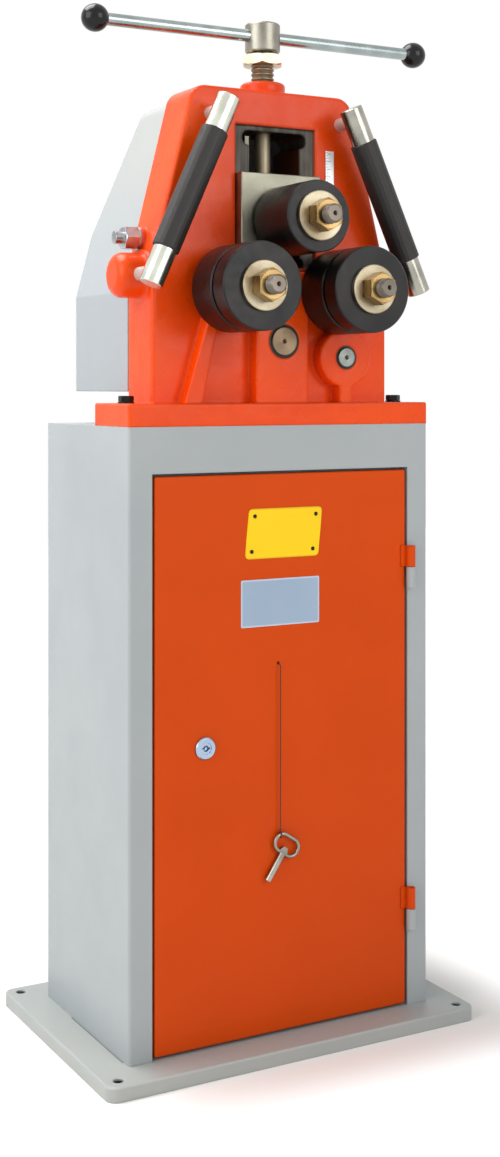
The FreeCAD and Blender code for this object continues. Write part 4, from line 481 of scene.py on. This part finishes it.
def gripRubber(spec):
    # ribs that run along both slanted grips, which mirror each other
    g = Graph("gripRubber", Roughness=spec["rough"], Specular_IOR_Level=spec["shine"])
    square = g.size(g.axis(0)) * spec["across"] + g.axis(2) * spec["upright"]
    ribs = g.relief(g.waves(square * (2 * math.pi / spec["pitch"])), spec["depth"])
    g.use(Base_Color=g.shades(g.noise(scale=60.0, detail=3.0), spec["shade"], spec["colour"]))
    g.use(Normal=g.relief(g.noise(scale=700.0), spec["grainDepth"], ribs))
    return g.material


ballBlack = {"colour": (18, 18, 20), "shade": (10, 10, 11), "rough": 0.2, "shine": 0.3, "depth": 0.00008}


def ballPlastic(spec):
    g = Graph("ballPlastic", Roughness=spec["rough"], Specular_IOR_Level=spec["shine"])
    g.use(Base_Color=g.shades(g.noise(scale=80.0), spec["shade"], spec["colour"]))
    g.use(Normal=g.relief(g.noise(scale=120.0, detail=1.0), spec["depth"]))
    return g.material


plates = {
    "yellowPlate": {"node": "name_plate", "colour": (250, 208, 0), "edge": (226, 180, 0),
                    "border": 0.002},
    "silverPlate": {"node": "label_plate", "colour": (150, 170, 192), "edge": (186, 202, 218),
                    "border": 0.0026},
}
plateFinish = {"rough": 0.34, "shine": 0.3, "patches": 0.12, "depth": 0.0001, "corner": 0.0004}


def platePaint(name, spec):
    # plain enamelled plate with a border of another shade
    g = Graph(name, Roughness=plateFinish["rough"], Specular_IOR_Level=plateFinish["shine"])
    low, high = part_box(spec["node"])
    depth = g.depthIn((low.x, None, low.z), (high.x, None, high.z))
    inside = g.between(depth, spec["border"] * 0.5, spec["border"])
    faint = g.patches(scale=14.0) * plateFinish["patches"]
    g.use(Base_Color=g.mix(inside, paint(*spec["edge"]), g.shades(faint, spec["colour"], spec["edge"])))
    edge = g.softEdge(plateFinish["corner"])
    g.use(Normal=g.relief(g.noise(scale=90.0), plateFinish["depth"], edge))
    return g.material


scaleMarks = {
    "left": 0.0745, "start": 1.090, "fine": 0.002, "coarse": 0.010, "short": 0.004, "long": 0.007,
    "fineShare": 0.25, "coarseShare": 0.07,                # of a step that its line takes
    "colour": (240, 242, 244), "shade": (226, 228, 230), "line": (50, 50, 52), "metallic": 0.7,
    "rough": 0.3, "roughMost": 0.4, "lines": (12, 1, 1), "depth": 0.00005, "corner": 0.0003,
}


def scaleSteel(spec):
    # short lines from the left edge of the strip, and a longer one at every coarse step
    g = Graph("scaleSteel", Metallic=spec["metallic"])
    rise = g.axis(2) - spec["start"]
    reach = g.axis(0) - spec["left"]

    def ticks(step, share, length):
        line = g.maths("LESS_THAN", g.maths("FRACT", rise / step), share)
        return line * g.maths("LESS_THAN", reach, length)

    marks = g.most(ticks(spec["fine"], spec["fineShare"], spec["short"]),
                   ticks(spec["coarse"], spec["coarseShare"], spec["long"]))
    strip = g.shades(g.patches(scale=50.0, detail=3.0), spec["shade"], spec["colour"])
    grain = g.noise(scale=500.0, stretch=spec["lines"])
    g.use(Base_Color=g.mix(marks, strip, paint(*spec["line"])))
    g.use(Roughness=g.patches(scale=60.0, start=spec["rough"], end=spec["roughMost"]))
    g.use(Normal=g.relief(grain, spec["depth"], g.softEdge(spec["corner"])))
    return g.material


coat(tubePlating(tubeChrome), "handle_tubes")
coat(gripRubber(gripRibs), "handle_grips", "crank_grip")
coat(ballPlastic(ballBlack), "tbar_knobs")
for name, spec in plates.items():
    coat(platePaint(name, spec), spec["node"])
coat(scaleSteel(scaleMarks), "position_scale")
coat(stringFinish(stringYarn), "string_knots")
print("finishes on")

floorSpec = {
    "half": 6.0, "colour": (236, 232, 229), "shade": (232, 228, 225), "rough": 0.9, "glow": 1.25,
    "footHalf": (0.266, 0.18),                # the tray's outline, where the glow starts
    "nearGlow": 0.04, "fade": (0.02, 0.18),   # share of it there, and where it grows to the whole
}


def rayMask(g):
    # 1 for rays from the camera and for reflections
    camera = g.node("LightPath", out="Is Camera Ray")
    glossy = g.node("LightPath", out="Is Glossy Ray")
    through = g.node("LightPath", out="Is Transmission Ray")
    return g.least(camera + glossy + through, 1.0)


def floorFinish(spec):
    # matt near the object, so that it keeps the shadow, and pure white farther away
    g = Graph("floorFinish", Roughness=spec["rough"], Specular_IOR_Level=0.0)
    g.use(Base_Color=g.shades(g.patches(scale=3.0), spec["shade"], spec["colour"]))
    sideways = g.most(g.size(g.axis(0)) - spec["footHalf"][0], 0.0)
    endways = g.most(g.size(g.axis(1)) - spec["footHalf"][1], 0.0)
    away = g.maths("SQRT", sideways * sideways + endways * endways)
    outside = g.maths("GREATER_THAN", away, 0.0)
    share = g.between(away, *spec["fade"], spec["nearGlow"], 1.0) * outside
    glow = g.node("Emission", {}, {"Color": (1.0, 1.0, 1.0, 1.0), "Strength": spec["glow"]})
    mixed = g.node("MixShader", {}, {0: rayMask(g) * share, 1: Signal(g, g.shader.outputs[0]), 2: glow})
    g.feed(g.tree.nodes["Material Output"].inputs["Surface"], mixed)
    return g.material


def makeFloor(spec):
    mesh = bpy.data.meshes.new("floor")
    grid = bmesh.new()
    half = spec["half"]
    outline = ((-half, -half), (half, -half), (half, half), (-half, half))
    grid.faces.new([grid.verts.new((x, y, 0.0)) for x, y in outline])
    grid.to_mesh(mesh)
    grid.free()
    floor = bpy.data.objects.new("floor", mesh)
    bpy.context.scene.collection.objects.link(floor)
    mesh.materials.append(floorFinish(spec))


class WorldGraph(Graph):
    def __init__(self, world):
        world.use_nodes = True
        self.tree = world.node_tree


worldLight = 0.5
# size in metres, power in watts
lamps = {
    "overhead": {"place": (-0.9, 0.7, 3.3), "size": 1.8, "power": 95, "aim": (0.0, 0.0, 0.8)},
    "fillLeft": {"place": (-3.2, -0.6, 1.9), "size": 2.4, "power": 60, "aim": (0.0, 0.0, 0.7)},
    "frontRight": {"place": (1.0, -3.2, 1.9), "size": 2.0, "power": 40, "aim": (0.0, 0.0, 0.9)},
}


def makeWorld(strength):
    # a plain white world that lights the object less than it shows to the camera
    world = bpy.data.worlds.new("studio")
    bpy.context.scene.world = world
    g = WorldGraph(world)
    background = g.tree.nodes["Background"]
    background.inputs["Color"].default_value = (1, 1, 1, 1)
    g.feed(background.inputs["Strength"], g.most(rayMask(g), strength))


def makeLamp(name, spec):
    light = bpy.data.lights.new(name, "AREA")
    light.size = spec["size"]
    light.energy = spec["power"]
    holder = bpy.data.objects.new(name, light)
    holder.location = spec["place"]
    aim = Vector(spec["aim"]) - Vector(spec["place"])
    holder.rotation_euler = aim.to_track_quat("-Z", "Y").to_euler()
    bpy.context.scene.collection.objects.link(holder)


makeFloor(floorSpec)
makeWorld(worldLight)
for name, spec in lamps.items():
    makeLamp(name, spec)
print("floor and light made")
